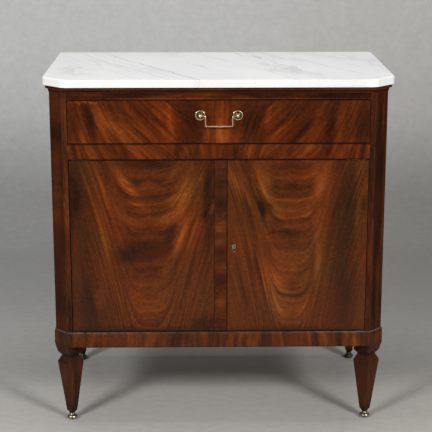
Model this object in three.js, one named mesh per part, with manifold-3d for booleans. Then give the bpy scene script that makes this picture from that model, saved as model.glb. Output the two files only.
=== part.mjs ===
import * as THREE from 'three';
import { mergeVertices } from 'three/addons/utils/BufferGeometryUtils.js';
import Module from 'manifold-3d';

// A low side cabinet on four tapered legs: a marble slab on a mahogany case with canted front corners,
// one drawer over two flush doors. Lengths are in millimetres, X runs to the right, Y to the back and Z up.
// Inside the cabinet group Y is zero on the front face of the case.

// The case and its front, members named from the floor up
const carcassWidth = 870;
const carcassDepth = 525;
const cornerCut = 34;
const postWidth = 47;
const legHeight = 218;
const bottomRailHeight = 41.5;
const doorOpeningHeight = 467.5;
const middleRailHeight = 40;
const drawerOpeningHeight = 115.5;
const topRailHeight = 32.5;

// The marble slab and how far it hangs over the case
const slabThickness = 20;
const slabCornerCut = 54;
const slabSideOverhang = 17;
const slabFrontOverhang = 17;
const slabBackOverhang = 3;
const slabCornerRound = 12;
const slabEdgeRound = 1.5;

// How pieces meet
const glueLine = 0.1;
const fitGap = 0.3;
const overrun = 1;

// Levels and faces that follow from the sizes above
const floorLevel = legHeight + bottomRailHeight;
const doorHead = floorLevel + doorOpeningHeight;
const drawerSill = doorHead + middleRailHeight;
const drawerHead = drawerSill + drawerOpeningHeight;
const carcassTop = drawerHead + topRailHeight;
const carcassHalf = carcassWidth / 2;
const openingHalf = carcassHalf - postWidth;
const slabHalf = carcassHalf + slabSideOverhang;
const slabDepth = carcassDepth + slabFrontOverhang + slabBackOverhang;
const sides = [{ name: 'left', sign: -1 }, { name: 'right', sign: 1 }];

// Colours and finishes, one new material for each piece
const mahogany = () => new THREE.MeshStandardMaterial({ color: 0x5c2c18, roughness: 0.35 });
const railMahogany = () => new THREE.MeshStandardMaterial({ color: 0x7a3a1c, roughness: 0.38 });
const oak = () => new THREE.MeshStandardMaterial({ color: 0x8a6a42, roughness: 0.75 });
const marble = () => new THREE.MeshStandardMaterial({ color: 0xe6e6e4, roughness: 0.25 });
const brass = () => new THREE.MeshStandardMaterial({ color: 0xb8975a, roughness: 0.35, metalness: 1 });
const iron = () => new THREE.MeshStandardMaterial({ color: 0x55504a, roughness: 0.5, metalness: 1 });

const model = new THREE.Group();
const cabinet = new THREE.Group();
cabinet.position.y = slabFrontOverhang - slabDepth / 2;
model.add(cabinet);

const wasm = await Module();
wasm.setup();

// A closed geometry as a solid, with its shared corners joined and its empty triangles dropped
function solidOf(geometry) {
  const bare = geometry.clone();
  bare.deleteAttribute('normal');
  bare.deleteAttribute('uv');
  const welded = mergeVertices(bare);
  const corners = welded.index.array;
  const kept = [];
  for (let i = 0; i < corners.length; i += 3) {
    const [a, b, c] = [corners[i], corners[i + 1], corners[i + 2]];
    if (a !== b && b !== c && c !== a) kept.push(a, b, c);
  }
  const vertProperties = new Float32Array(welded.getAttribute('position').array);
  const triVerts = new Uint32Array(kept);
  return new wasm.Manifold(new wasm.Mesh({ numProp: 3, vertProperties, triVerts }));
}

function geometryOf(solid) {
  const mesh = solid.getMesh();
  const geometry = new THREE.BufferGeometry();
  geometry.setAttribute('position', new THREE.BufferAttribute(new Float32Array(mesh.vertProperties), 3));
  geometry.setIndex(new THREE.BufferAttribute(new Uint32Array(mesh.triVerts), 1));
  geometry.computeVertexNormals();
  return geometry;
}

function cut(geometry, ...tools) {
  let solid = solidOf(geometry);
  for (const tool of tools) solid = solid.subtract(solidOf(tool));
  return geometryOf(solid);
}

function join(geometry, ...others) {
  let solid = solidOf(geometry);
  for (const other of others) solid = solid.add(solidOf(other));
  return geometryOf(solid);
}

function addPart(parent, name, material, geometry) {
  const mesh = new THREE.Mesh(geometry, material);
  mesh.name = name;
  parent.add(mesh);
  return mesh;
}

// A span on one side of the middle, as [low, high]
const span = (sign, inner, outer) => (sign > 0 ? [inner, outer] : [-outer, -inner]);

// A box between limits along each axis
function block([x0, x1], [y0, y1], [z0, z1]) {
  const box = new THREE.BoxGeometry(x1 - x0, y1 - y0, z1 - z0);
  return box.translate((x0 + x1) / 2, (y0 + y1) / 2, (z0 + z1) / 2);
}

// Limits drawn in by half the glue line at both ends
const eased = ([low, high]) => [low + glueLine / 2, high - glueLine / 2];
const widened = ([low, high], by) => [low - by, high + by];

// A plain board between limits, a hair smaller all round for its glue lines
function addBoard(parent, name, material, x, y, z) {
  const size = [x, y, z].map(eased).map(([low, high]) => high - low);
  const mesh = addPart(parent, name, material, new THREE.BoxGeometry(...size));
  mesh.position.set((x[0] + x[1]) / 2, (y[0] + y[1]) / 2, (z[0] + z[1]) / 2);
  return mesh;
}

const boardBlock = (x, y, z) => block(eased(x), eased(y), eased(z));

const polygon = (points) => new THREE.Shape(points.map(([x, y]) => new THREE.Vector2(x, y)));

const plainExtrude = (shape, depth, curveSegments = 8) =>
  new THREE.ExtrudeGeometry(shape, { depth, bevelEnabled: false, curveSegments });

// An outline seen from above, raised between two levels
const raise = (shape, [z0, z1]) => plainExtrude(shape, z1 - z0).translate(0, 0, z0);

// An outline of (Y, Z) run along X
function runAlongX(shape, [x0, x1]) {
  const axes = new THREE.Matrix4().makeBasis(
    new THREE.Vector3(0, 1, 0), new THREE.Vector3(0, 0, 1), new THREE.Vector3(1, 0, 0));
  return plainExtrude(shape, x1 - x0).applyMatrix4(axes).translate(x0, 0, 0);
}

// An outline of (X, Z) run along Y
function runAlongY(shape, [y0, y1]) {
  return plainExtrude(shape, y1 - y0).rotateX(Math.PI / 2).translate(0, y1, 0);
}

// A turned piece from (radius, height) points, lowest first, standing on Z
const turned = (points, segments) => geometryOf(solidOf(
  new THREE.LatheGeometry(points.map(([r, z]) => new THREE.Vector2(r, z)), segments).rotateX(Math.PI / 2)));

// Marble slab with cut front corners, softened where the cuts meet the sides, and eased edges
function slabShape() {
  const half = slabHalf - slabEdgeRound;
  const front = slabEdgeRound;
  const back = slabDepth - slabEdgeRound;
  const corners = [[half, back], [-half, back], [-half, front + slabCornerCut],
    [slabCornerCut - half, front], [half - slabCornerCut, front], [half, front + slabCornerCut]];
  const shape = new THREE.Shape();
  corners.forEach(([x, y], i) => {
    const here = new THREE.Vector2(x, y);
    const before = new THREE.Vector2(...corners.at(i - 1));
    const after = new THREE.Vector2(...corners[(i + 1) % corners.length]);
    const start = here.clone().add(before.sub(here).setLength(slabCornerRound));
    const end = here.clone().add(after.sub(here).setLength(slabCornerRound));
    if (i === 0) shape.moveTo(start.x, start.y);
    else shape.lineTo(start.x, start.y);
    shape.quadraticCurveTo(here.x, here.y, end.x, end.y);
  });
  shape.closePath();
  return shape;
}

function addSlab(parent) {
  const geometry = new THREE.ExtrudeGeometry(slabShape(), {
    depth: slabThickness - 2 * slabEdgeRound,
    bevelThickness: slabEdgeRound,
    bevelSize: slabEdgeRound,
    bevelSegments: 3,
    curveSegments: 4,
  });
  const slab = addPart(parent, 'marble_top', marble(), geometry);
  slab.position.set(0, -slabFrontOverhang, carcassTop + slabEdgeRound);
}

// Plan of the case's outer edge, from the right rear corner round the front to the left rear corner
const edgePath = [[carcassHalf, carcassDepth], [carcassHalf, cornerCut], [carcassHalf - cornerCut, 0],
  [cornerCut - carcassHalf, 0], [-carcassHalf, cornerCut], [-carcassHalf, carcassDepth]];

// Cove moulding under the slab, in five lengths mitred round the cut corners
const coveHeight = 16;
const coveReach = 9;
const coveLip = 6.5;
const coveFoot = 1.5;

function coveShape() {
  const shape = new THREE.Shape();
  shape.moveTo(glueLine, 0);
  shape.lineTo(coveFoot, 0);
  shape.lineTo(coveFoot, coveFoot);
  shape.quadraticCurveTo(coveFoot, coveHeight - coveLip, coveReach, coveHeight - coveLip);
  shape.lineTo(coveReach, coveHeight - glueLine);
  shape.lineTo(glueLine, coveHeight - glueLine);
  shape.closePath();
  return shape;
}

// One mitred length: the profile's X points out of the case and its Y up, and each end leans by its mitre
function mitredLength(shape, length, startTurn, endTurn) {
  const geometry = plainExtrude(shape, length - glueLine, 6).translate(0, 0, glueLine / 2);
  const place = geometry.getAttribute('position');
  for (let i = 0; i < place.count; i += 1) {
    const atStart = place.getZ(i) < length / 2;
    const lean = atStart ? -Math.tan(startTurn / 2) : Math.tan(endTurn / 2);
    place.setZ(i, place.getZ(i) + place.getX(i) * lean);
  }
  return geometry;
}

function addCove(parent) {
  const names = ['cove_side_right', 'cove_cant_right', 'cove_front', 'cove_cant_left', 'cove_side_left'];
  const corners = edgePath.map(([x, y]) => new THREE.Vector2(x, y));
  const runs = names.map((name, i) => corners[i + 1].clone().sub(corners[i]));
  const turns = runs.map((run, i) => (i === 0 ? 0 : Math.abs(run.angleTo(runs[i - 1]))));
  names.forEach((name, i) => {
    const along = new THREE.Vector3(runs[i].x, runs[i].y, 0).normalize();
    const up = new THREE.Vector3(0, 0, 1);
    const out = new THREE.Vector3().crossVectors(up, along);
    const geometry = mitredLength(coveShape(), runs[i].length(), turns[i], turns[i + 1] ?? 0);
    const mesh = addPart(parent, name, mahogany(), geometry);
    mesh.quaternion.setFromRotationMatrix(new THREE.Matrix4().makeBasis(out, up, along));
    mesh.position.set(corners[i].x, corners[i].y, carcassTop - coveHeight);
  });
}

// Hidden pivot hinges: a brass plate let into the rail carries a pin, and a plate let into the door's
// edge turns on it, above and below the outer corner of each door
const doorThickness = 22;
const doorSideGap = 1.7;
const doorEndGap = 1.5;
const meetingGap = 1;
const pivotInset = 12;
const pivotDepth = 6;
const pivotPlateLength = 50;
const pivotPlateWidth = 10;
const pivotPlateThickness = 2.5;
const pivotPinRadius = 2.5;
const pivotPinLength = 4;
const pivotCollarRadius = 4;
const pivotPinGap = 0.3;

const pivotX = openingHalf - doorSideGap - pivotInset;
const levelEnds = [{ name: 'lower', face: floorLevel, into: -1 }, { name: 'upper', face: doorHead, into: 1 }];

const pivotCylinder = (sign, radius, [z0, z1]) => new THREE.CylinderGeometry(radius, radius, z1 - z0, 16)
  .rotateX(Math.PI / 2).translate(sign * pivotX, pivotDepth, (z0 + z1) / 2);

// Levels between two depths measured into the rail; the door lies at depths below zero
function levels(end, a, b) {
  const [first, second] = [end.face + end.into * a, end.face + end.into * b];
  return [Math.min(first, second), Math.max(first, second)];
}

// A plate starts round the pin and runs towards the middle of the cabinet
function plateBlock(sign, gap, z) {
  const tail = pivotPlateWidth / 2;
  const x = span(sign, pivotX - pivotPlateLength + tail - gap, pivotX + tail + gap);
  return block(x, widened([pivotDepth - tail, pivotDepth + tail], gap), z);
}

const railPocket = (sign, end) =>
  plateBlock(sign, fitGap, levels(end, -overrun, pivotPlateThickness + fitGap));

const doorPocket = (sign, end) =>
  plateBlock(sign, fitGap, levels(end, overrun - doorEndGap, -doorEndGap - pivotPlateThickness - fitGap));

// Below the plate the door is bored so that the pin's end turns free
const pinBore = (sign, end) => pivotCylinder(sign, pivotPinRadius + pivotPinGap,
  levels(end, -doorEndGap, -doorEndGap - pivotPinLength - fitGap));

function addHinges(frame, doors) {
  for (const { name, sign } of sides) {
    for (const end of levelEnds) {
      const plate = plateBlock(sign, 0, levels(end, 0, pivotPlateThickness));
      const collar = pivotCylinder(sign, pivotCollarRadius, levels(end, overrun, glueLine - doorEndGap));
      const pin = pivotCylinder(sign, pivotPinRadius, levels(end, overrun, -doorEndGap - pivotPinLength));
      addPart(frame, `pivot_pin_plate_${end.name}_${name}`, brass(), join(plate, collar, pin));

      const leaf = plateBlock(sign, 0, levels(end, -doorEndGap, -doorEndGap - pivotPlateThickness));
      const hole = pivotCylinder(sign, pivotPinRadius + pivotPinGap,
        levels(end, 0, -2 * doorEndGap - pivotPlateThickness));
      addPart(doors[name], `pivot_eye_plate_${end.name}_${name}`, brass(), cut(leaf, hole));
    }
  }
}

// Surface bolt that holds the left door shut: a flat rod in two staples, shot up into the middle rail
const boltX = 4;
const boltWidth = 8;
const boltThickness = 5;
const boltLength = 112;
const boltTravel = 12;
const boltDrop = 1.5;
const boltPlateWidth = 24;
const boltPlateLength = 108;
const boltPlateThickness = 2;
const stapleWidth = 15;
const stapleHeight = 10;
const stapleInset = 8;
const stapleWall = 2;
const boltKnobRadius = 4;
const boltKnobLength = 8;

const boltTop = doorHead - doorEndGap - boltDrop;
const boltBack = doorThickness + boltPlateThickness + fitGap;
const boltSpanX = [boltX - boltWidth / 2, boltX + boltWidth / 2];
const boltSpanY = [boltBack, boltBack + boltThickness];

function addBolt(door) {
  const plateTop = doorHead - doorEndGap - stapleInset;
  const plateZ = [plateTop - boltPlateLength, plateTop];
  const plate = block([boltX - boltPlateWidth / 2, boltX + boltPlateWidth / 2],
    [doorThickness + glueLine, doorThickness + boltPlateThickness], plateZ);
  const staple = (z) => block([boltX - stapleWidth / 2, boltX + stapleWidth / 2],
    [doorThickness + glueLine, boltSpanY[1] + fitGap + stapleWall], [z, z + stapleHeight]);
  const lowStaple = staple(plateZ[0] + stapleInset);
  const highStaple = staple(plateZ[1] - stapleInset - stapleHeight);
  const channel = block(widened(boltSpanX, fitGap), widened(boltSpanY, fitGap), widened(plateZ, overrun));
  const plateAndStaples = cut(join(plate, lowStaple, highStaple), channel);
  addPart(door, 'door_bolt_plate', iron(), plateAndStaples);

  const rod = block(boltSpanX, boltSpanY, [boltTop - boltLength, boltTop]);
  const knob = new THREE.CylinderGeometry(boltKnobRadius, boltKnobRadius, boltKnobLength, 12)
    .translate(boltX, boltSpanY[1] + boltKnobLength / 2 - glueLine, boltTop - boltLength / 2);
  addPart(door, 'door_bolt', iron(), join(rod, knob));
}

// Rails across the front between the posts. The bottom rail stands proud with a rounded upper edge.
const topRailDepth = 25;
const middleRailDepth = 60;
const baseProud = 4;
const baseRound = 9;
const bottomRailBack = 27;

// The proud base's outline on one side: over its rounded upper edge and down its face
function roundOver(shape, plane, proud) {
  const middle = floorLevel - baseRound;
  const outward = Math.sign(proud) > 0 ? 0 : Math.PI;
  shape.lineTo(plane, floorLevel);
  shape.absellipse(plane, middle, Math.abs(proud), baseRound, Math.PI / 2, outward, proud > 0);
  shape.lineTo(plane + proud, legHeight + glueLine);
}

function addRails(parent) {
  const width = [-openingHalf, openingHalf];
  addBoard(parent, 'top_rail', railMahogany(), width, [0, topRailDepth], [drawerHead, carcassTop]);

  const middle = boardBlock(width, [0, middleRailDepth], [doorHead, drawerSill]);
  const boltHole = block(widened(boltSpanX, fitGap), widened(boltSpanY, fitGap),
    [doorHead - overrun, boltTop + boltTravel + overrun]);
  const upperPockets = sides.map(({ sign }) => railPocket(sign, levelEnds[1]));
  addPart(parent, 'middle_rail', railMahogany(), cut(middle, boltHole, ...upperPockets));

  const profile = new THREE.Shape();
  profile.moveTo(bottomRailBack, legHeight + glueLine);
  profile.lineTo(bottomRailBack, floorLevel);
  roundOver(profile, 0, -baseProud);
  profile.closePath();
  const lowerPockets = sides.map(({ sign }) => railPocket(sign, levelEnds[0]));
  const bottom = runAlongX(profile, eased(width));
  addPart(parent, 'bottom_rail', railMahogany(), cut(bottom, ...lowerPockets));
}

// Posts: five-sided at the front so that the case's corner is cut off, rebated at the rear for the back
const frontPostDepth = 60;
const rearPostDepth = 47;
const backThickness = 12;
const backRebate = 10;

const backFace = carcassDepth - backThickness;
const rearPostFront = carcassDepth - rearPostDepth;
const postSpan = eased([floorLevel, carcassTop]);

function addPosts(parent) {
  for (const { name, sign } of sides) {
    const front = [[openingHalf, 0], [carcassHalf - cornerCut, 0], [carcassHalf, cornerCut],
      [carcassHalf, frontPostDepth], [openingHalf, frontPostDepth]];
    const rebate = openingHalf + backRebate;
    const rear = [[openingHalf, rearPostFront], [carcassHalf, rearPostFront], [carcassHalf, carcassDepth],
      [rebate, carcassDepth], [rebate, backFace], [openingHalf, backFace]];
    const mirrored = (points) => polygon(points.map(([x, y]) => [sign * x, y]));
    addPart(parent, `front_post_${name}`, mahogany(), raise(mirrored(front), postSpan));
    addPart(parent, `rear_post_${name}`, mahogany(), raise(mirrored(rear), postSpan));
  }
}

// Side panels between the posts, housed inside for the floor board and the board over the drawer
const panelThickness = 18;
const housingDepth = 5;
const floorThickness = 16;
const overDrawerThickness = 15;
const overDrawerGap = 1.5;

const panelInner = carcassHalf - panelThickness;
const floorTop = floorLevel + floorThickness;
const overDrawerSpan = [drawerHead + overDrawerGap, drawerHead + overDrawerGap + overDrawerThickness];
const panelSpanY = [frontPostDepth, rearPostFront];

function addSidePanels(parent) {
  for (const { name, sign } of sides) {
    const panel = boardBlock(span(sign, panelInner, carcassHalf), panelSpanY, [legHeight, carcassTop]);
    const housing = (z) => block(span(sign, panelInner - overrun, panelInner + housingDepth),
      widened(panelSpanY, overrun), widened(z, glueLine));
    const panelWithHousings = cut(panel, housing([floorLevel, floorTop]), housing(overDrawerSpan));
    addPart(parent, `side_panel_${name}`, mahogany(), panelWithHousings);

    const band = new THREE.Shape();
    band.moveTo(sign * (carcassHalf + glueLine), legHeight + glueLine);
    roundOver(band, sign * (carcassHalf + glueLine), sign * (baseProud - glueLine));
    band.closePath();
    addPart(parent, `base_band_${name}`, railMahogany(), runAlongY(band, eased(panelSpanY)));
  }
}

// Boards that tie the case together: the cupboard floor, whose front edge stops the doors, the board over
// the drawer, the dust board under it, and the back in its rebates
const doorHeelGap = 28;
const stopGap = 0.3;
const heelClearance = 5;
const dustBoardThickness = 8;
const dustBoardDrop = 10;

function tieBoardPlan(frontPoints) {
  const reach = panelInner + housingDepth - fitGap;
  const rightHalf = [...frontPoints, [openingHalf - fitGap, frontPostDepth + fitGap],
    [reach, frontPostDepth + fitGap], [reach, rearPostFront - fitGap],
    [openingHalf - fitGap, rearPostFront - fitGap], [openingHalf - fitGap, backFace - glueLine]];
  const leftHalf = rightHalf.map(([x, y]) => [-x, y]).reverse();
  return polygon([...rightHalf, ...leftHalf]);
}

function addTieBoards(parent) {
  const stopFace = doorThickness + stopGap;
  const heelFace = doorThickness + heelClearance;
  const floorFront = [[openingHalf - doorHeelGap, stopFace], [openingHalf - doorHeelGap, heelFace],
    [openingHalf - fitGap, heelFace]];
  addPart(parent, 'floor_board', oak(), raise(tieBoardPlan(floorFront), eased([floorLevel, floorTop])));
  const overFront = [[openingHalf - fitGap, topRailDepth + glueLine]];
  addPart(parent, 'over_drawer_board', oak(), raise(tieBoardPlan(overFront), eased(overDrawerSpan)));

  const dustTop = drawerSill - dustBoardDrop;
  addBoard(parent, 'dust_board', oak(), [-runnerInner, runnerInner], [middleRailDepth, rearPostFront],
    [dustTop - dustBoardThickness, dustTop]);
  const backReach = openingHalf + backRebate - fitGap;
  addBoard(parent, 'back_panel', oak(), [-backReach, backReach], [backFace, carcassDepth],
    [legHeight, carcassTop]);
}

// Runners carry the drawer sides, and a raised edge on each keeps the drawer straight
const runnerThickness = 25;
const runnerLedge = 25;
const guideHeight = 33;

const runnerInner = openingHalf - runnerLedge;

function addRunners(parent) {
  const underside = drawerSill - runnerThickness;
  const outer = panelInner - glueLine;
  for (const { name, sign } of sides) {
    const outline = [[runnerInner, underside], [outer, underside], [outer, drawerSill + guideHeight],
      [openingHalf, drawerSill + guideHeight], [openingHalf, drawerSill], [runnerInner, drawerSill]];
    const shape = polygon(outline.map(([x, z]) => [sign * x, z]));
    addPart(parent, `drawer_runner_${name}`, oak(), runAlongY(shape, eased(panelSpanY)));
  }
}

// One loose shelf on a bearer at each side
const shelfThickness = 18;
const shelfRise = 216.5;
const shelfSideGap = 1;
const bearerSize = 20;
const bearerSetback = 15;

const shelfLevel = floorTop + shelfRise;

function addShelf(parent) {
  const reach = panelInner - shelfSideGap;
  addBoard(parent, 'shelf', oak(), [-reach, reach], panelSpanY, [shelfLevel, shelfLevel + shelfThickness]);
  for (const { name, sign } of sides) {
    const y = [panelSpanY[0] + bearerSetback, panelSpanY[1] - bearerSetback];
    addBoard(parent, `shelf_bearer_${name}`, oak(), span(sign, panelInner - bearerSize, panelInner), y,
      [shelfLevel - bearerSize, shelfLevel]);
  }
}

// Legs, square in section, each cut from one piece with the block above it. The front ones are set
// cornerwise under the cut corners and the rear ones square. Reaches are half diagonals: ankle, toe, knee,
// neck and head from the floor up.
const frontLegInset = 36.5;
const rearLegInset = 28;
const ankleReach = 7;
const ankleLevel = 19;
const toeReach = 14.3;
const toeLevel = 26;
const kneeReach = 35;
const kneeLevel = 167;
const neckReach = 23.6;
const neckLevel = 184.5;
const headReach = 34.5;
const headLevel = 195.5;
const headTopReach = 37.5;
const headLean = 3;
const footPinRadius = 3;
const footPinLength = 14;

const square = 4;

function legShaft(turn) {
  const outline = [[0, ankleLevel], [ankleReach, ankleLevel], [toeReach, toeLevel], [kneeReach, kneeLevel],
    [neckReach, neckLevel], [headReach, headLevel], [0, headLevel]];
  return turned(outline, square).rotateZ(turn);
}

// The head spreads on its outer sides only, to come flush with the block
function legHead(turn, leanX, leanY) {
  const height = legHeight - headLevel;
  const head = new THREE.CylinderGeometry(headTopReach, headReach, height, square)
    .rotateX(Math.PI / 2).rotateZ(turn);
  const place = head.getAttribute('position');
  for (let i = 0; i < place.count; i += 1) {
    if (place.getZ(i) > 0) place.setXY(i, place.getX(i) + leanX, place.getY(i) + leanY);
  }
  return head.translate(0, 0, headLevel + height / 2);
}

// The front block follows the case's cut corner, proud of it, with the base's rounded upper edge
function frontBlock(sign) {
  const beyond = baseProud + overrun;
  const plan = [[openingHalf - beyond, 0], [carcassHalf - cornerCut, 0], [carcassHalf, cornerCut],
    [carcassHalf, frontPostDepth + beyond], [openingHalf - beyond, frontPostDepth + beyond]];
  const geometry = new THREE.ExtrudeGeometry(polygon(plan.map(([x, y]) => [sign * x, y])), {
    depth: bottomRailHeight,
    bevelThickness: baseRound,
    bevelSize: baseProud,
    bevelSegments: 5,
  });
  geometry.translate(0, 0, floorLevel - baseRound - bottomRailHeight);
  const region = block(span(sign, openingHalf + glueLine / 2, carcassHalf + beyond),
    [-beyond, frontPostDepth - glueLine / 2], [legHeight, floorLevel - glueLine / 2]);
  return geometryOf(solidOf(geometry).intersect(solidOf(region)));
}

// The rear block is rebated for the back like the post above it
function rearBlock(sign) {
  const shape = new THREE.Shape();
  shape.moveTo(sign * openingHalf, legHeight);
  shape.lineTo(sign * openingHalf, floorLevel - glueLine);
  shape.lineTo(sign * carcassHalf, floorLevel - glueLine);
  shape.absellipse(sign * carcassHalf, floorLevel - baseRound, baseProud, baseRound - glueLine,
    Math.PI / 2, sign > 0 ? 0 : Math.PI, sign > 0);
  shape.lineTo(sign * (carcassHalf + baseProud), legHeight);
  shape.closePath();
  const rebate = block(span(sign, openingHalf - overrun, openingHalf + backRebate),
    [backFace, carcassDepth + overrun], [legHeight - overrun, floorLevel + overrun]);
  return cut(runAlongY(shape, [rearPostFront + glueLine / 2, carcassDepth]), rebate);
}

// Brass foot: a ball that flares down from a slim neck like a bell, with a pin up into the leg
const ballReach = 13.4;
const ballMiddle = 8.2;
const ballHalfHeight = 8.8;
const footNeckRadius = 5;
const footNeckLevel = 17.5;
const footCupRadius = 6.3;
const ballShoulder = 0.35;
const bellFlare = 4.5;

function footProfile() {
  const low = Math.asin(-ballMiddle / ballHalfHeight);
  const high = ballShoulder;
  const path = new THREE.Path();
  path.moveTo(0, 0);
  path.lineTo(ballReach * Math.cos(low), 0);
  path.absellipse(0, ballMiddle, ballReach, ballHalfHeight, low, high, false);
  path.quadraticCurveTo(footNeckRadius, ballMiddle + bellFlare, footNeckRadius, footNeckLevel);
  path.lineTo(footCupRadius, ankleLevel - glueLine);
  path.lineTo(footPinRadius, ankleLevel - glueLine);
  path.lineTo(footPinRadius, ankleLevel + footPinLength);
  path.lineTo(0, ankleLevel + footPinLength);
  return path.getPoints(5).map(({ x, y }) => [x, y]);
}

function addLegs(parent) {
  const ends = [
    { end: 'front', inset: frontLegInset, y: frontLegInset, turn: 0, leanY: -headLean, blockOf: frontBlock },
    { end: 'rear', inset: rearLegInset, y: carcassDepth - rearLegInset, turn: Math.PI / 4, leanY: 0,
      blockOf: rearBlock },
  ];
  for (const { end, inset, y, turn, leanY, blockOf } of ends) {
    for (const { name, sign } of sides) {
      const x = sign * (carcassHalf - inset);
      const bore = turned([[0, 0], [footPinRadius + fitGap, 0],
        [footPinRadius + fitGap, ankleLevel + footPinLength + fitGap],
        [0, ankleLevel + footPinLength + fitGap]], 12).translate(x, y, 0);
      const tapered = join(legShaft(turn), legHead(turn, sign * headLean, leanY)).translate(x, y, 0);
      addPart(parent, `leg_${end}_${name}`, mahogany(), cut(join(tapered, blockOf(sign)), bore));
      const foot = addPart(parent, `foot_${end}_${name}`, brass(), turned(footProfile(), 20));
      foot.position.set(x, y, 0);
    }
  }
}

// The drawer: a thick front, thinner sides dovetailed into it and into the back, and a bottom in grooves.
// Its sides run back to the cabinet's back panel, which stops it flush.
const drawerGap = 1.5;
const drawerFrontThickness = 20;
const drawerSideThickness = 12;
const drawerSideHeight = 104;
const drawerBackThickness = 12;
const drawerBackDrop = 4;
const drawerLap = 5;
const drawerBottomThickness = 7;
const drawerBottomRise = 8;
const grooveDepth = 5;
const tailMargin = 6;
const tailTipShare = 0.72;
const tailRootShare = 0.5;
const frontTailCount = 4;
const backTailCount = 3;

const drawerHalf = openingHalf - drawerGap;
const drawerInner = drawerHalf - drawerSideThickness;
const drawerBase = drawerSill + fitGap;
const drawerSideTop = drawerBase + drawerSideHeight;
const drawerBottomZ = [drawerBase + drawerBottomRise, drawerBase + drawerBottomRise + drawerBottomThickness];
const drawerBackTop = drawerSideTop - drawerBackDrop;
const drawerEnd = backFace - fitGap;
const drawerBackFace = drawerEnd - drawerBackThickness;
const grooveStart = drawerFrontThickness - grooveDepth;
const frontTails = {
  rootY: drawerFrontThickness + glueLine,
  tipY: drawerLap,
  low: drawerBase + tailMargin,
  high: drawerSideTop - tailMargin,
  count: frontTailCount,
};
const backTails = {
  rootY: drawerBackFace - glueLine,
  tipY: drawerEnd,
  low: drawerBottomZ[1] + fitGap + tailMargin,
  high: drawerBackTop - tailMargin,
  count: backTailCount,
};

// Dovetails along one end of a drawer side, each a (Y, Z) outline that widens from root to tip. Sockets are
// wider by the gap and run on before the root and after the tip.
function tails({ rootY, tipY, low, high, count }, gap = 0, before = 0, after = 0) {
  const pitch = (high - low) / count;
  const outward = Math.sign(tipY - rootY);
  const widening = pitch * (tailTipShare - tailRootShare) / 2 / (tipY - rootY);
  const halfAt = (y) => pitch * tailRootShare / 2 + widening * (y - rootY) + gap;
  const [start, end] = [rootY - outward * before, tipY + outward * after];
  return Array.from({ length: count }, (_, i) => {
    const middle = low + pitch * (i + 1 / 2);
    const [root, tip] = [halfAt(start), halfAt(end)];
    return [[start, middle - root], [end, middle - tip], [end, middle + tip], [start, middle + root]];
  });
}

function drawerSide(sign) {
  const rising = tails(backTails).flat();
  const falling = tails(frontTails).flat().reverse();
  const outline = [[frontTails.rootY, drawerBase], [drawerEnd, drawerBase], [drawerEnd, drawerBottomZ[1]],
    [backTails.rootY, drawerBottomZ[1]], ...rising, [backTails.rootY, drawerSideTop],
    [frontTails.rootY, drawerSideTop], ...falling];
  const side = runAlongX(polygon(outline), span(sign, drawerInner, drawerHalf));
  const groove = block(span(sign, drawerInner - overrun, drawerInner + grooveDepth),
    [grooveStart, drawerEnd + overrun], widened(drawerBottomZ, fitGap / 2));
  return cut(side, groove);
}

const sockets = (outlines) => sides.flatMap(({ sign }) => outlines.map((outline) => (
  runAlongX(polygon(outline), span(sign, drawerInner - fitGap, drawerHalf + overrun)))));

function drawerFront() {
  const board = block([-drawerHalf, drawerHalf], [0, drawerFrontThickness],
    [drawerSill + drawerGap, drawerHead - drawerGap]);
  const groove = block([-drawerInner - grooveDepth, drawerInner + grooveDepth],
    [grooveStart, drawerFrontThickness + overrun], widened(drawerBottomZ, fitGap / 2));
  const stemHoles = sides.map(({ sign }) => new THREE.CylinderGeometry(postHoleRadius, postHoleRadius,
    2 * drawerFrontThickness, 16).translate(sign * handleHalf, drawerFrontThickness / 2, handleLevel));
  return cut(board, groove, ...stemHoles, ...sockets(tails(frontTails, fitGap, overrun, fitGap)));
}

function addDrawer(parent) {
  addPart(parent, 'drawer_front', mahogany(), drawerFront());
  for (const { name, sign } of sides) addPart(parent, `drawer_side_${name}`, oak(), drawerSide(sign));
  const back = block([-drawerHalf, drawerHalf], [drawerBackFace, drawerEnd],
    [drawerBottomZ[1] + fitGap, drawerBackTop]);
  const backSockets = sockets(tails(backTails, fitGap, overrun, overrun));
  addPart(parent, 'drawer_back', oak(), cut(back, ...backSockets));
  const reach = drawerInner + grooveDepth - fitGap;
  addPart(parent, 'drawer_bottom', oak(),
    block([-reach, reach], [grooveStart + fitGap, drawerEnd], drawerBottomZ));
}

// Bail handle: dished rosettes, two ball-ended posts through the drawer front, and a bail between the balls
const handleHalf = 48;
const handleRise = 75;
const rosetteRadius = 13.2;
const rosetteEdge = 1;
const rosetteRim = 2.6;
const rosetteRimWidth = 4;
const rosetteDish = 1.1;
const rosetteBoss = 5.6;
const postStemRadius = 3;
const postHoleRadius = 3.3;
const postStemLength = 28;
const postCollarRadius = 4.4;
const postCollarTop = 4.6;
const postNeckRadius = 2.7;
const postNeckTop = 5.6;
const ballRadius = 4.7;
const bailStandOff = 11.8;
const bailArmInset = 13.4;
const bailDrop = 27;
const bailRadius = 1.65;
const bailSwellRadius = 2.9;
const bailSwellHalf = 28;
const bailShoulderBend = 3.5;
const bailCornerBend = 1.8;
const bailPinRadius = 1.2;
const bailPinLength = 9;

const handleLevel = drawerSill + handleRise;
const bailArmHalf = handleHalf - bailArmInset;

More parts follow.
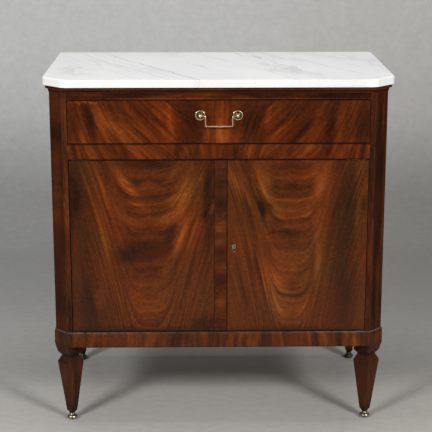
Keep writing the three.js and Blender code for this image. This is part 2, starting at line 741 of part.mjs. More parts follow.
function rosetteProfile() {
  const rimMiddle = rosetteRadius - rosetteRimWidth / 2;
  const dishEdge = rosetteRadius - rosetteRimWidth;
  const path = new THREE.Path();
  path.moveTo(postHoleRadius, glueLine);
  path.lineTo(rosetteRadius, glueLine);
  path.lineTo(rosetteRadius, rosetteEdge);
  path.quadraticCurveTo(rosetteRadius, rosetteRim, rimMiddle, rosetteRim);
  path.quadraticCurveTo(dishEdge, rosetteRim, dishEdge, rosetteDish);
  path.lineTo(rosetteBoss, rosetteDish);
  path.lineTo(postCollarRadius, rosetteRim);
  path.lineTo(postHoleRadius, rosetteRim);
  path.closePath();
  return path.getPoints(4).map(({ x, y }) => [x, y]);
}

function postProfile() {
  const underBall = Math.acos(postNeckRadius / ballRadius);
  const path = new THREE.Path();
  path.moveTo(0, -postStemLength);
  path.lineTo(postStemRadius, -postStemLength);
  path.lineTo(postStemRadius, rosetteRim + glueLine);
  path.lineTo(postCollarRadius, rosetteRim + glueLine);
  path.lineTo(postCollarRadius, postCollarTop);
  path.quadraticCurveTo(postNeckRadius, postCollarTop, postNeckRadius, postNeckTop);
  path.absarc(0, bailStandOff, ballRadius, -underBall, Math.PI / 2, false);
  return path.getPoints(6).map(({ x, y }) => [Math.max(x, 0), y]);
}

// The bail's centre line in X and Z about its pivot: out of one ball, down, across, up and into the other
function bailPath() {
  const shoulder = handleHalf - ballRadius - fitGap;
  const stations = [[-shoulder, 0], [-bailArmHalf, 0], [-bailArmHalf, -bailDrop], [bailArmHalf, -bailDrop],
    [bailArmHalf, 0], [shoulder, 0]].map(([x, z]) => new THREE.Vector3(x, 0, z));
  const bends = [bailShoulderBend, bailCornerBend, bailCornerBend, bailShoulderBend];
  const route = new THREE.CurvePath();
  let from = stations[0];
  bends.forEach((bend, i) => {
    const [before, corner, after] = stations.slice(i, i + 3);
    const entry = corner.clone().add(before.clone().sub(corner).setLength(bend));
    const exit = corner.clone().add(after.clone().sub(corner).setLength(bend));
    route.add(new THREE.LineCurve3(from, entry));
    route.add(new THREE.QuadraticBezierCurve3(entry, corner, exit));
    from = exit;
  });
  route.add(new THREE.LineCurve3(from, stations.at(-1)));
  return route;
}

// The middle of the bail is drawn out thicker, like a long spindle
function bailSwell() {
  const steps = 10;
  const points = Array.from({ length: steps + 1 }, (_, i) => {
    const along = 2 * i / steps - 1;
    const radius = bailRadius + (bailSwellRadius - bailRadius) * Math.cos(along * Math.PI / 2);
    return [radius, along * bailSwellHalf];
  });
  return turned([[0, -bailSwellHalf], ...points, [0, bailSwellHalf]], 12)
    .rotateY(Math.PI / 2).translate(0, 0, -bailDrop);
}

const pinAlongX = (radius, x, y) => new THREE.CylinderGeometry(radius, radius, bailPinLength, 10)
  .rotateZ(Math.PI / 2).translate(x, y, 0);

function addHandle(parent) {
  const pinMiddle = handleHalf - bailPinLength / 2;
  for (const { name, sign } of sides) {
    const rosette = addPart(parent, `handle_rosette_${name}`, brass(), turned(rosetteProfile(), 28));
    rosette.position.set(sign * handleHalf, 0, handleLevel);
    rosette.rotation.x = Math.PI / 2;

    const holeReach = bailPinLength / 2 - fitGap;
    const hole = pinAlongX(bailPinRadius + fitGap, -sign * holeReach, 0).translate(0, 0, bailStandOff);
    const post = addPart(parent, `handle_post_${name}`, brass(), cut(turned(postProfile(), 18), hole));
    post.position.set(sign * handleHalf, 0, handleLevel);
    post.rotation.x = Math.PI / 2;
  }
  const ring = new THREE.Shape();
  ring.absarc(0, 0, bailRadius, 0, 2 * Math.PI, false);
  const loop = new THREE.ExtrudeGeometry(ring, { extrudePath: bailPath(), steps: 90, curveSegments: 5 });
  const pins = sides.map(({ sign }) => pinAlongX(bailPinRadius, sign * pinMiddle, 0));
  const bail = addPart(parent, 'handle_bail', brass(), join(loop, bailSwell(), ...pins));
  bail.position.set(0, -bailStandOff, handleLevel);
}

// Doors: flush slabs. The left one carries the meeting strip, proud of its face, and the right one the lock.
const meetingEdge = 20.5;
const stripWidth = 32.5;
const stripProud = 3;
const keyholeRise = 236;
const lockBackset = 17.5;
const lockWidth = 52;
const lockHeight = 50;
const lockDepth = 12;
const lockBoltDepth = 8;
const lockBoltHeight = 18;
const lockBoltLength = 27;
const lockBoltTravel = 10;
const lockBoltSetback = 0.5;
const escutcheonDepth = 2.5;
const escutcheonProud = 0.3;
const escutcheonBow = 5;
const escutcheonWard = 3.6;
const keyBow = 3.2;
const keyWard = 1.8;
const keyholeDrop = 12.4;

const doorOuter = openingHalf - doorSideGap;
const doorSpanZ = [floorLevel + doorEndGap, doorHead - doorEndGap];
const rightDoorEdge = meetingEdge + meetingGap;
const keyholeX = rightDoorEdge + lockBackset;
const keyholeLevel = floorLevel + keyholeRise;
const lockMiddle = keyholeLevel - escutcheonBow;
const lockSpanX = [rightDoorEdge, rightDoorEdge + lockWidth];
const lockSpanY = [doorThickness - lockDepth, doorThickness];
const lockSpanZ = [lockMiddle - lockHeight / 2, lockMiddle + lockHeight / 2];
const lockBoltInset = (lockDepth - lockBoltDepth) / 2;
const lockBoltY = [lockSpanY[0] + lockBoltInset, lockSpanY[1] - lockBoltInset];
const lockBoltZ = [lockMiddle - lockBoltHeight / 2, lockMiddle + lockBoltHeight / 2];
const lockBoltX = [rightDoorEdge + lockBoltSetback, rightDoorEdge + lockBoltSetback + lockBoltLength];

// A keyhole outline in (X, Z) about its round part, with a straight tail hanging below
function keyholeShape(bow, ward, grow = 0) {
  const tuck = Math.asin((ward + grow) / (bow + grow));
  const shape = new THREE.Shape();
  shape.absarc(0, 0, bow + grow, tuck - Math.PI / 2, 3 * Math.PI / 2 - tuck, false);
  shape.absarc(0, -keyholeDrop, ward + grow, Math.PI, 2 * Math.PI, false);
  shape.closePath();
  return shape;
}

const keyholeRun = (shape, y) => runAlongY(shape, y).translate(keyholeX, 0, keyholeLevel);

function addDoors(leftDoor, rightDoor) {
  const pockets = (sign) => levelEnds.flatMap((end) => [doorPocket(sign, end), pinBore(sign, end)]);
  const leftSlab = boardBlock([-doorOuter, meetingEdge], [0, doorThickness], doorSpanZ);
  const strike = block([meetingEdge - lockBoltTravel - overrun, meetingEdge + overrun],
    widened(lockBoltY, fitGap), widened(lockBoltZ, fitGap));
  addPart(leftDoor, 'door_left', mahogany(), cut(leftSlab, strike, ...pockets(-1)));
  addBoard(leftDoor, 'meeting_strip', mahogany(), [meetingEdge - stripWidth, meetingEdge],
    [-stripProud, 0], doorSpanZ);

  const rightSlab = boardBlock([rightDoorEdge, doorOuter], [0, doorThickness], doorSpanZ);
  const lockRecess = block([rightDoorEdge - overrun, lockSpanX[1] + fitGap],
    [lockSpanY[0] - fitGap, doorThickness + overrun], widened(lockSpanZ, fitGap));
  const keyway = keyholeRun(keyholeShape(keyBow, keyWard), [-overrun, lockSpanY[0]]);
  const inlay = keyholeRun(keyholeShape(escutcheonBow, escutcheonWard, fitGap),
    [-overrun, escutcheonDepth + fitGap]);
  addPart(rightDoor, 'door_right', mahogany(), cut(rightSlab, lockRecess, keyway, inlay, ...pockets(1)));

  const escutcheon = keyholeRun(keyholeShape(escutcheonBow, escutcheonWard),
    [-escutcheonProud, escutcheonDepth]);
  const keyOpening = keyholeRun(keyholeShape(keyBow, keyWard), [-overrun, escutcheonDepth + overrun]);
  addPart(rightDoor, 'keyhole_escutcheon', brass(), cut(escutcheon, keyOpening));
}

function addLock(door) {
  const lockCase = block(lockSpanX, lockSpanY, lockSpanZ);
  const channel = block([rightDoorEdge - overrun, lockBoltX[1] + fitGap], widened(lockBoltY, fitGap),
    widened(lockBoltZ, fitGap));
  const keyway = keyholeRun(keyholeShape(keyBow, keyWard), [lockSpanY[0] - overrun, lockBoltY[0] + overrun]);
  addPart(door, 'lock_case', brass(), cut(lockCase, channel, keyway));
  addPart(door, 'lock_bolt', brass(), block(lockBoltX, lockBoltY, lockBoltZ));
}

const carcass = new THREE.Group();
const drawer = new THREE.Group();
const doors = { left: new THREE.Group(), right: new THREE.Group() };
cabinet.add(carcass, drawer, doors.left, doors.right);

addSlab(carcass);
addCove(carcass);
addRails(carcass);
addPosts(carcass);
addSidePanels(carcass);
addTieBoards(carcass);
addRunners(carcass);
addShelf(carcass);
addLegs(carcass);
addDrawer(drawer);
addHandle(drawer);
addDoors(doors.left, doors.right);
addHinges(carcass, doors);
addBolt(doors.left);
addLock(doors.right);

export default model;
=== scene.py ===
import math

import bmesh
import bpy
from mathutils import Matrix, Vector


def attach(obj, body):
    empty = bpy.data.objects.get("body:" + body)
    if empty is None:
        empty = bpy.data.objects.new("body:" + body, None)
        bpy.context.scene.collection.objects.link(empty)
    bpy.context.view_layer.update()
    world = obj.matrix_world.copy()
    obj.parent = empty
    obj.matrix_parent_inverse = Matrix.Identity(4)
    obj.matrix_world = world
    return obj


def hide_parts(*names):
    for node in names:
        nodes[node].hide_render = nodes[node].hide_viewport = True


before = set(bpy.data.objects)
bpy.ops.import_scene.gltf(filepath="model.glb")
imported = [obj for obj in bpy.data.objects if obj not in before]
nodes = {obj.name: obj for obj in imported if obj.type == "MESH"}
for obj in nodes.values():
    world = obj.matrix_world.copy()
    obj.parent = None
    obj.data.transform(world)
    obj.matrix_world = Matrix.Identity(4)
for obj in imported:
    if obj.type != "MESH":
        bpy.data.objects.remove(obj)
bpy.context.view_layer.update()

# The room: a sheet of pale grey paper that runs under the cabinet and sweeps up behind it, two broad
# soft lamps in front, one at each side, and a long lens at the height of a standing person's eyes. The
# paper shows from its front only, so that the cabinet can also be looked at from behind.
PAPER_WIDTH = 16.0
PAPER_FRONT = -7.0
PAPER_TURN_START = 1.35
PAPER_TURN_RADIUS = 0.55
PAPER_TURN_STEPS = 24
PAPER_TOP = 5.0
# The paper's colours hold painted light and shade: paler in front and high up the sweep, and painted shade
# towards the back and towards the right.
PAPER_PALE = (0.48, 0.46, 0.43, 1)
PAPER_SHADED = (0.305, 0.302, 0.292, 1)
PAPER_PAINTED_LIGHT_HIGH = (0.50, 0.50, 0.495, 1)
PAPER_FADE_FRONT = -0.9
PAPER_FADE_BACK = 1.1
PAPER_FADE_LOW = 0.1
PAPER_FADE_HIGH = 0.75
PAPER_FADE_SIDE = 0.9
PAPER_RIGHT_PAINTED_SHADE = (0.86, 0.85, 0.825, 1)
PAPER_CLOUDING = 0.06
BLACK = (0, 0, 0, 1)
WHITE = (1, 1, 1, 1)

LAMP_ASIDE = 2.4
LAMP_IN_FRONT = -3.3
LAMP_HEIGHT = 2.35
LAMP_SIDE = 0.8
LAMP_POWER = 133
TOP_LAMP_HEIGHT = 3.3
TOP_LAMP_WIDTH = 3.0
TOP_LAMP_DEPTH = 1.0
TOP_LAMP_POWER = 40
CASE_MIDDLE = (0, 0, 0.5)
SLAB_MIDDLE = (0, 0, 0.9)
AIR_COLOUR = (0.92, 0.95, 1.0, 1)
AIR_STRENGTH = 0.1
BEYOND_PAPER = (0.36, 0.36, 0.355, 1)

CAMERA_PLACE = (-0.0622, -3.6036, 1.4359)
CAMERA_DOWN = 14.386
CAMERA_TURN = -0.931
LENS = 110.94
SENSOR = 36.0
FARTHEST_SEEN = 100

SIDES = (("left", -1), ("right", 1))
MESH_ORDER = Vector((0.8137, 0.3391, 0.4723))


class Field:
    """A number or a place that varies over a surface. The numbers are worked out with ordinary sums."""

    def __init__(self, tree, socket):
        self.tree = tree
        self.socket = socket

    def sum(self, operation, *others):
        node = self.tree.nodes.new("ShaderNodeMath")
        node.operation = operation
        for socket, value in zip(node.inputs, (self, *others)):
            connect(self.tree, socket, value)
        return Field(self.tree, node.outputs[0])

    def __add__(self, other):
        return self.sum("ADD", other)

    def __sub__(self, other):
        return self.sum("SUBTRACT", other)

    def __mul__(self, other):
        return self.sum("MULTIPLY", other)

    def __truediv__(self, other):
        return self.sum("DIVIDE", other)

    def __pow__(self, other):
        return self.sum("POWER", other)

    def __abs__(self):
        return self.sum("ABSOLUTE")


def connect(tree, socket, value):
    if isinstance(value, Field):
        value = value.socket
    if isinstance(value, bpy.types.NodeSocket):
        tree.links.new(value, socket)
    else:
        socket.default_value = value


def put(tree, kind, inputs=None, **settings):
    node = tree.nodes.new("ShaderNode" + kind)
    for setting, value in settings.items():
        setattr(node, setting, value)
    for name, value in (inputs or {}).items():
        connect(tree, node.inputs[name], value)
    return node


def place_on(tree):
    """The place on a piece, whole and as its X, Y and Z."""
    at = Field(tree, put(tree, "TexCoord").outputs["Object"])
    split = put(tree, "SeparateXYZ", {0: at})
    return at, *(Field(tree, socket) for socket in split.outputs)


def spot(x, y, z):
    return Field(x.tree, put(x.tree, "CombineXYZ", {0: x, 1: y, 2: z}).outputs[0])


def noise(at, scale, detail, roughness=0.55):
    node = put(at.tree, "TexNoise", {"Vector": at, "Scale": scale, "Detail": detail,
                                     "Roughness": roughness})
    return Field(at.tree, node.outputs["Fac"])


def stretch(field, low, high, to_low=0.0, to_high=1.0, smooth=False):
    node = put(field.tree, "MapRange", {"Value": field, "From Min": low, "From Max": high,
                                        "To Min": to_low, "To Max": to_high},
               interpolation_type="SMOOTHSTEP" if smooth else "LINEAR")
    return Field(field.tree, node.outputs[0])


def ramp(field, stops):
    node = put(field.tree, "ValToRGB", {"Fac": field})
    band = node.color_ramp
    while len(band.elements) < len(stops):
        band.elements.new(0.5)
    for element, (position, colour) in zip(band.elements, stops):
        element.position = position
        element.color = colour
    return node.outputs["Color"]


def blend_colours(tree, share, first, second, kind="MIX"):
    node = put(tree, "Mix", data_type="RGBA", blend_type=kind)
    connect(tree, node.inputs[0], share)
    connect(tree, node.inputs[6], first)
    connect(tree, node.inputs[7], second)
    return node.outputs[2]


def surface(name, **inputs):
    """A new material's tree and its shader, whose plain values are set on its own sockets."""
    material = bpy.data.materials.new(name)
    material.use_nodes = True
    tree = material.node_tree
    shader = tree.nodes["Principled BSDF"]
    for socket, value in inputs.items():
        shader.inputs[socket.replace("_", " ")].default_value = value
    return material, tree, shader


def paint(tree, shader, colour):
    connect(tree, shader.inputs["Base Color"], colour)


def paint_over(material, share, colour):
    """Lays a colour over a material's own, by a share that varies over the surface."""
    tree = material.node_tree
    shader = tree.nodes["Principled BSDF"]
    plain = shader.inputs["Base Color"].links[0].from_socket
    paint(tree, shader, blend_colours(tree, share, plain, colour))
    return material


def bump(tree, shader, height, distance):
    node = put(tree, "Bump", {"Height": height, "Distance": distance})
    tree.links.new(node.outputs[0], shader.inputs["Normal"])


def put_in_order(made):
    """Sorts corners, edges and faces along one slanted line, because bmesh leaves them in another order
    on each run."""
    made.verts.sort(key=lambda vert: vert.co.dot(MESH_ORDER))
    for parts in (made.edges, made.faces):
        parts.sort(key=lambda part: sum(sorted(vert.co.dot(MESH_ORDER) for vert in part.verts)))


def mesh_object(name, mesh_maker, material, smooth_angle=None):
    mesh = bpy.data.meshes.new(name)
    made = bmesh.new()
    mesh_maker(made)
    put_in_order(made)
    made.to_mesh(mesh)
    made.free()
    mesh.materials.append(material)
    piece = bpy.data.objects.new(name, mesh)
    bpy.context.scene.collection.objects.link(piece)
    if smooth_angle is not None:
        mesh.shade_smooth()
        mesh.set_sharp_from_angle(angle=smooth_angle)
    return piece


def turned_to(place, way):
    """The matrix that takes what was made upright to a place, facing a way of its own."""
    return Matrix.Translation(place) @ Vector(way).to_track_quat("Z", "Y").to_matrix().to_4x4()


def arc(centre, reach, start, end, steps):
    """Points along an arc about a centre, between two angles in degrees, with its own reach each way."""
    turns = [math.radians(start + (end - start) * i / steps) for i in range(steps + 1)]
    return [(centre[0] + reach[0] * math.cos(turn), centre[1] + reach[1] * math.sin(turn))
            for turn in turns]


def paper_sweep(made):
    curve = arc((PAPER_TURN_START, PAPER_TURN_RADIUS), (PAPER_TURN_RADIUS, PAPER_TURN_RADIUS), -90, 0,
                PAPER_TURN_STEPS)
    outline = [(PAPER_FRONT, 0.0), *curve, (PAPER_TURN_START + PAPER_TURN_RADIUS, PAPER_TOP)]
    left = [made.verts.new((-PAPER_WIDTH / 2, y, z)) for y, z in outline]
    edges = [made.edges.new(pair) for pair in zip(left, left[1:])]
    swept = bmesh.ops.extrude_edge_only(made, edges=edges)["geom"]
    moved = [item for item in swept if isinstance(item, bmesh.types.BMVert)]
    bmesh.ops.translate(made, verts=moved, vec=(PAPER_WIDTH, 0, 0))
    bmesh.ops.recalc_face_normals(made, faces=made.faces)
    made.normal_update()
    if sum(face.normal.z for face in made.faces) < 0:
        bmesh.ops.reverse_faces(made, faces=made.faces)


def paper_grey():
    material, tree, shader = surface("paper_grey", Roughness=0.9)
    at, x, y, z = place_on(tree)
    # Painted light and shade: the paper is paler in front and high up, and painted darker towards the back
    # and towards the right.
    depth = stretch(y, PAPER_FADE_FRONT, PAPER_FADE_BACK, smooth=True)
    floor_painted_shade = ramp(depth, [(0.0, PAPER_PALE), (1.0, PAPER_SHADED)])
    height = stretch(z, PAPER_FADE_LOW, PAPER_FADE_HIGH, smooth=True)
    mottle = noise(at, 0.8, 3)
    colour = blend_colours(tree, height, floor_painted_shade, PAPER_PAINTED_LIGHT_HIGH)
    clouded = blend_colours(tree, PAPER_CLOUDING, colour, ramp(mottle, [(0.3, BLACK), (0.7, WHITE)]))
    across = stretch(x, -PAPER_FADE_SIDE, PAPER_FADE_SIDE)
    painted_side_shade = blend_colours(tree, across, WHITE, PAPER_RIGHT_PAINTED_SHADE)
    scuffs = noise(spot(x, y * 1.6, z), 34, 6, 0.7)
    grit = ramp(scuffs, [(0.35, (0.90, 0.90, 0.90, 1)), (0.65, WHITE)])
    toned = blend_colours(tree, 1.0, clouded, painted_side_shade, kind="MULTIPLY")
    paint(tree, shader, blend_colours(tree, 1.0, toned, grit, kind="MULTIPLY"))
    behind = put(tree, "NewGeometry").outputs["Backfacing"]
    nothing = put(tree, "BsdfTransparent").outputs[0]
    one_sided = put(tree, "MixShader", {0: behind, 1: shader.outputs[0], 2: nothing})
    connect(tree, tree.nodes["Material Output"].inputs["Surface"], one_sided.outputs[0])
    return material


paper = mesh_object("paper", paper_sweep, paper_grey(), smooth_angle=math.pi)


def soft_lamp(name, place, target, width, height, power):
    data = bpy.data.lights.new(name, "AREA")
    data.shape = "RECTANGLE"
    data.size = width
    data.size_y = height
    data.energy = power
    lamp = bpy.data.objects.new(name, data)
    lamp.location = place
    lamp.rotation_euler = (Vector(target) - Vector(place)).to_track_quat("-Z", "Y").to_euler()
    bpy.context.scene.collection.objects.link(lamp)


for side, sign in SIDES:
    soft_lamp("lamp_" + side, (sign * LAMP_ASIDE, LAMP_IN_FRONT, LAMP_HEIGHT), CASE_MIDDLE, LAMP_SIDE,
              LAMP_SIDE, LAMP_POWER)
soft_lamp("lamp_above", (0, 0, TOP_LAMP_HEIGHT), SLAB_MIDDLE, TOP_LAMP_WIDTH, TOP_LAMP_DEPTH,
          TOP_LAMP_POWER)

world = bpy.data.worlds.new("room")
world.use_nodes = True
air = world.node_tree
lighting = air.nodes["Background"]
lighting.inputs["Color"].default_value = AIR_COLOUR
lighting.inputs["Strength"].default_value = AIR_STRENGTH
beyond_paper = put(air, "Background", {"Color": BEYOND_PAPER})
seen_directly = put(air, "LightPath").outputs["Is Camera Ray"]
around = put(air, "MixShader", {0: seen_directly, 1: lighting.outputs[0], 2: beyond_paper.outputs[0]})
connect(air, air.nodes["World Output"].inputs["Surface"], around.outputs[0])
bpy.context.scene.world = world
bpy.context.scene.view_settings.view_transform = "Standard"

camera_data = bpy.data.cameras.new("camera")
camera_data.lens = LENS
camera_data.sensor_width = SENSOR
camera_data.clip_end = FARTHEST_SEEN
camera = bpy.data.objects.new("camera", camera_data)
camera.location = CAMERA_PLACE
camera.rotation_euler = (math.radians(90 - CAMERA_DOWN), 0, math.radians(CAMERA_TURN))
bpy.context.scene.collection.objects.link(camera)
bpy.context.scene.camera = camera

# The top: one slab of white marble, sawn, its front corners cut off and softened, its edges eased and the
# whole honed by hand. Grey veins cross it from the back left to the front right.
MARBLE_WHITE = (0.728, 0.728, 0.722, 1)
MARBLE_CLOUD = (0.650, 0.653, 0.655, 1)
MARBLE_VEIN = (0.36, 0.36, 0.37, 1)
MARBLE_WARM = (0.665, 0.645, 0.595, 1)
MARBLE_PAINTED_LIGHT = (0.88, 0.875, 0.84, 1)
VEIN_SLANT_X = 0.89
VEIN_SLANT_Y = 0.46
# Each vein's distance across the slant, its half width and its strength
MARBLE_VEINS = [(-0.170, 0.0045, 0.95), (-0.182, 0.0025, 0.50), (-0.205, 0.0030, 0.50),
                (-0.235, 0.0050, 0.60), (-0.262, 0.0030, 0.35), (-0.300, 0.0035, 0.30),
                (0.060, 0.0070, 0.30), (0.150, 0.0030, 0.25), (0.255, 0.0060, 0.35),
                (0.330, 0.0040, 0.30)]
SLAB_EDGE_LOW = 0.9325
SLAB_EDGE_HIGH = 0.9345
SLAB_BACK = 0.275
SMALLEST_STEP = 0.00002
EASED_FROM = math.radians(32)
EASED_STEPS = 2


def dress(material, easing, *names, edge=None):
    """Gives CAD pieces their finish, and eases their edges by a small width, in a finish of their own."""
    for name in names:
        piece = nodes[name]
        piece.data.materials.clear()
        piece.data.materials.append(material)
        if easing:
            joined = piece.modifiers.new("joined", "WELD")
            joined.merge_threshold = SMALLEST_STEP
            eased = piece.modifiers.new("eased", "BEVEL")
            eased.width = easing
            eased.segments = EASED_STEPS
            eased.limit_method = "ANGLE"
            eased.angle_limit = EASED_FROM
            if edge:
                piece.data.materials.append(edge)
                eased.material = 1


def white_marble():
    material, tree, shader = surface("white_marble", Specular_IOR_Level=0.3)
    at, x, y, z = place_on(tree)
    across = x * VEIN_SLANT_X + y * VEIN_SLANT_Y
    along = x * VEIN_SLANT_Y - y * VEIN_SLANT_X
    sway = noise(at, 3.2, 4) - 0.5
    cloud = noise(spot(across * 4 + sway * 1.6, along * 1.3, z * 4), 1.4, 6, 0.6)
    ridge = abs(noise(spot(across * 7 + sway * 2.2, along * 1.1, z * 7), 1.3, 5, 0.55) - 0.5)
    vein = stretch(ridge, 0.0, 0.035, 1.0, 0.0, smooth=True)
    faint = stretch(noise(spot(x, y, z + 3.0), 2.3, 3), 0.42, 0.62)
    body = blend_colours(tree, stretch(cloud, 0.35, 0.7), MARBLE_WHITE, MARBLE_CLOUD)
    veined = blend_colours(tree, vein * faint * 0.45, body, MARBLE_VEIN)
    wander = (noise(at, 7, 5) - 0.5) * 0.045
    on_top = stretch(z, SLAB_EDGE_LOW, SLAB_EDGE_HIGH, 0.35, 1.0)
    for place, width, strength in MARBLE_VEINS:
        line = stretch(abs(across - place + wander), 0.0, width, strength, 0.0, smooth=True)
        gaps = noise(spot(across * 12, along * 6, place * 9), 1, 3)
        broken = stretch(gaps, 0.36, 0.6, 0.2, 1.0)
        veined = blend_colours(tree, line * broken * on_top, veined, MARBLE_VEIN)
    warm = stretch(noise(at, 1.7, 2), 0.5, 0.75)
    # Warmer and darker towards the back: partly the stone's own yellowing and partly painted shade.
    back = stretch(y + sway * 0.05, 0.20, SLAB_BACK, smooth=True)
    flank = stretch(z, SLAB_EDGE_LOW, SLAB_EDGE_HIGH, 0.45, 0.0)
    warmed = blend_colours(tree, warm * 0.3 + back * 0.5 + flank, veined, MARBLE_WARM)
    # The cut front corners are painted paler: painted light.
    corner = stretch(abs(x) - y, 0.64, 0.69)
    paint(tree, shader, blend_colours(tree, corner, warmed, MARBLE_PAINTED_LIGHT))
    crystals = noise(at, 420, 2)
    connect(tree, shader.inputs["Roughness"], crystals * 0.14 + 0.38)
    bump(tree, shader, crystals, 0.00006)
    return material


dress(white_marble(), 0.0006, "marble_top")

# The case: mahogany posts, side panels and cove mouldings, straight in the grain, stained and French
# polished. The corners are dark with old polish, and their arrises are pale, partly rubbed and partly a
# painted highlight.
MM = 0.001
PAINTED_HIGHLIGHT_LEVEL = 0.2560
PORE_DEPTH = 0.00012
WOOD_STOPS = [(0.0, (0.008, 0.0022, 0.0008, 1)), (0.22, (0.019, 0.0050, 0.0014, 1)),
              (0.42, (0.046, 0.0102, 0.0019, 1)), (0.62, (0.090, 0.0190, 0.0024, 1)),
              (0.82, (0.149, 0.0350, 0.0042, 1)), (1.0, (0.208, 0.0580, 0.0085, 1))]
BROWN_CAST = ((1.08, 0.95, 0.90, 1), (0.90, 1.07, 1.10, 1))
RED_CAST = ((1.22, 0.94, 0.85, 1), (1.03, 1.01, 1.15, 1))
DARK_CAST = ((1.08, 0.98, 1.25, 1), (0.92, 1.08, 1.50, 1))
PALE_BLOOM_AND_HIGHLIGHT = (0.125, 0.105, 0.085, 1)
CROWDING = 0.24
PATCH_SPREAD = 1.6
PATCH_DEPTH = 10


def patch_level(place, patches):
    """The sum of soft lighter and darker places. Each has its X and Z, its half length and half width in
    millimetres, the degrees that it leans to the right at its top, and its strength."""
    total = None
    for at_x, at_z, half_long, half_wide, lean, strength in patches:
        size = (half_wide * MM * PATCH_SPREAD, PATCH_DEPTH, half_long * MM * PATCH_SPREAD)
        here = put(place.tree, "Mapping", {"Vector": place, "Location": (at_x * MM, 0, at_z * MM),
                                           "Rotation": (0, math.radians(lean), 0), "Scale": size},
                   vector_type="TEXTURE")
        apart = put(place.tree, "VectorMath", {0: here.outputs[0]}, operation="LENGTH")
        away = Field(place.tree, apart.outputs["Value"])
        soft = stretch(away, 0.0, 1.0, strength, 0.0, smooth=True)
        total = soft if total is None else total + soft
    return total


def mahogany(name, fibre, seed, tone, broad, fine=0.5, hairs=0.0, ragged=14.0, cast=BROWN_CAST,
             patches=(), painted_lines=(), highlight_from=None, gloss=0.09, veil=0.0, strands=0.18, plain_behind=None):
    """Mahogany whose figure runs along its fibres. fibre gives the distance across them, the distance
    along them, and the share by which steep fibres crowd together. tone is the wood's level between dark
    and pale, and broad, fine and strands are the strengths of its wide, narrow and thread-like figure.
    hairs is the strength of its thin dark hairlines. ragged is how far the figure frays its patches, in
    millimetres. Each line is a thin band of painted shade or painted highlight, and has its axis, its place
    and its half width in millimetres, and its strength.
    highlight_from is the height above which a pale painted highlight lies along a rounded top edge, gloss
    the strength of the polish, and veil the share of old bloom on it near the floor. Past plain_behind, a
    Y, the wood is straight in the grain, as on the inside of a door."""
    material, tree, shader = surface("mahogany_" + name, Roughness=0.4, Specular_IOR_Level=gloss)
    x, y, z = place_on(tree)[1:]
    across, along, steep = fibre(x, y, z)
    if plain_behind is not None:
        faced = stretch(y, plain_behind - 0.0003, plain_behind, 1.0, 0.0)
        across = x * 1.6 + (across - x * 1.6) * faced
        along = z * 0.7 + (along - z * 0.7) * faced
        steep = steep * faced if steep else None

    def figure(wide_scale, long_scale, offset, detail=3.0, roughness=0.5):
        near = noise(spot(across * wide_scale, along * long_scale, seed + offset), 1, detail, roughness)
        if steep is None:
            return near
        far = noise(spot(across * (wide_scale * CROWDING), along * long_scale, seed + offset + 40), 1,
                    detail, roughness)
        return near + (far - near) * steep

    wide = figure(26, 4.5, 0.0)
    streak = figure(64, 8, 4.3, 4, 0.55)
    strand = figure(150, 11, 6.2, 2)
    thread = figure(330, 16, 9.1)
    pores = figure(1400, 60, 1.7, 2)
    mottle = noise(spot(x, y, z + seed), 150, 3, 0.65)
    level = (wide - 0.5) * broad + (streak - 0.5) * fine + (thread - 0.5) * 0.16 + tone
    level += (mottle - 0.5) * 0.40 + (strand - 0.5) * strands
    if patches:
        shift = (streak - 0.5) * (ragged * MM) + (wide - 0.5) * (2 * ragged * MM)
        places = patch_level(spot(x + shift, 0.0, z + shift * 1.5), patches)
        shown = stretch(streak, 0.3, 0.7, 0.35, 1.6)
        level += places * (shown if plain_behind is None else shown * faced)
    if hairs:
        line = stretch(abs(figure(120, 7, 13.3, 2) - 0.5), 0.0, 0.016, 1.0, 0.0)
        here = stretch(noise(spot(x, y, z + seed), 16, 2), 0.48, 0.6)
        level -= line * here * hairs
    # Each line adds a thin band of painted shade or painted highlight, in gaps, hollows and creases or
    # along edges.
    for axis, at, half, strength in painted_lines:
        away = abs({"x": x, "z": z}[axis] - at * MM)
        level += stretch(away, half * MM / 2, half * MM, strength, 0.0) * (mottle + 0.5)
    level -= stretch(pores, 0.6, 0.8, 0.0, 0.10)
    drift = stretch(noise(spot(x, y + seed, z), 7, 2), 0.35, 0.65)
    tint = blend_colours(tree, drift, *cast)
    colour = blend_colours(tree, 1.0, ramp(level, WOOD_STOPS), tint, kind="MULTIPLY")
    if veil:
        colour = blend_colours(tree, stretch(z, 0.3, 0.62, veil, 0.0), colour, PALE_BLOOM_AND_HIGHLIGHT)
    # A pale painted highlight along a rounded top edge, above the given height and brighter towards the
    # ends.
    if highlight_from:
        ends = stretch(abs(x), 0.18, 0.38, 0.35, 1.0)
        painted_highlight = stretch(z, highlight_from, highlight_from + 0.0025) * ends * stretch(mottle, 0.3, 0.65)
        colour = blend_colours(tree, painted_highlight * 0.8, colour, PALE_BLOOM_AND_HIGHLIGHT)
    paint(tree, shader, colour)
    connect(tree, shader.inputs["Roughness"], thread * 0.25 + wide * 0.2 + 0.2)
    bump(tree, shader, thread * 0.6 + pores * 0.4, PORE_DEPTH)
    return material


def rubbed_and_highlit_edge():
    """The arrises, paler where hands and dusters have taken off the polish, and in part a painted highlight
    along the edges.
    """
    material, tree, shader = surface("rubbed_and_highlit_edge", Roughness=0.5, Specular_IOR_Level=0.08)
    rub_and_highlight = noise(place_on(tree)[0], 38, 5, 0.65)
    paint(tree, shader, ramp(rub_and_highlight, [
        (0.34, (0.014, 0.0060, 0.0040, 1)), (0.50, (0.036, 0.0140, 0.0080, 1)),
        (0.62, (0.070, 0.0300, 0.0170, 1)), (0.74, (0.170, 0.0950, 0.0600, 1))]))
    return material


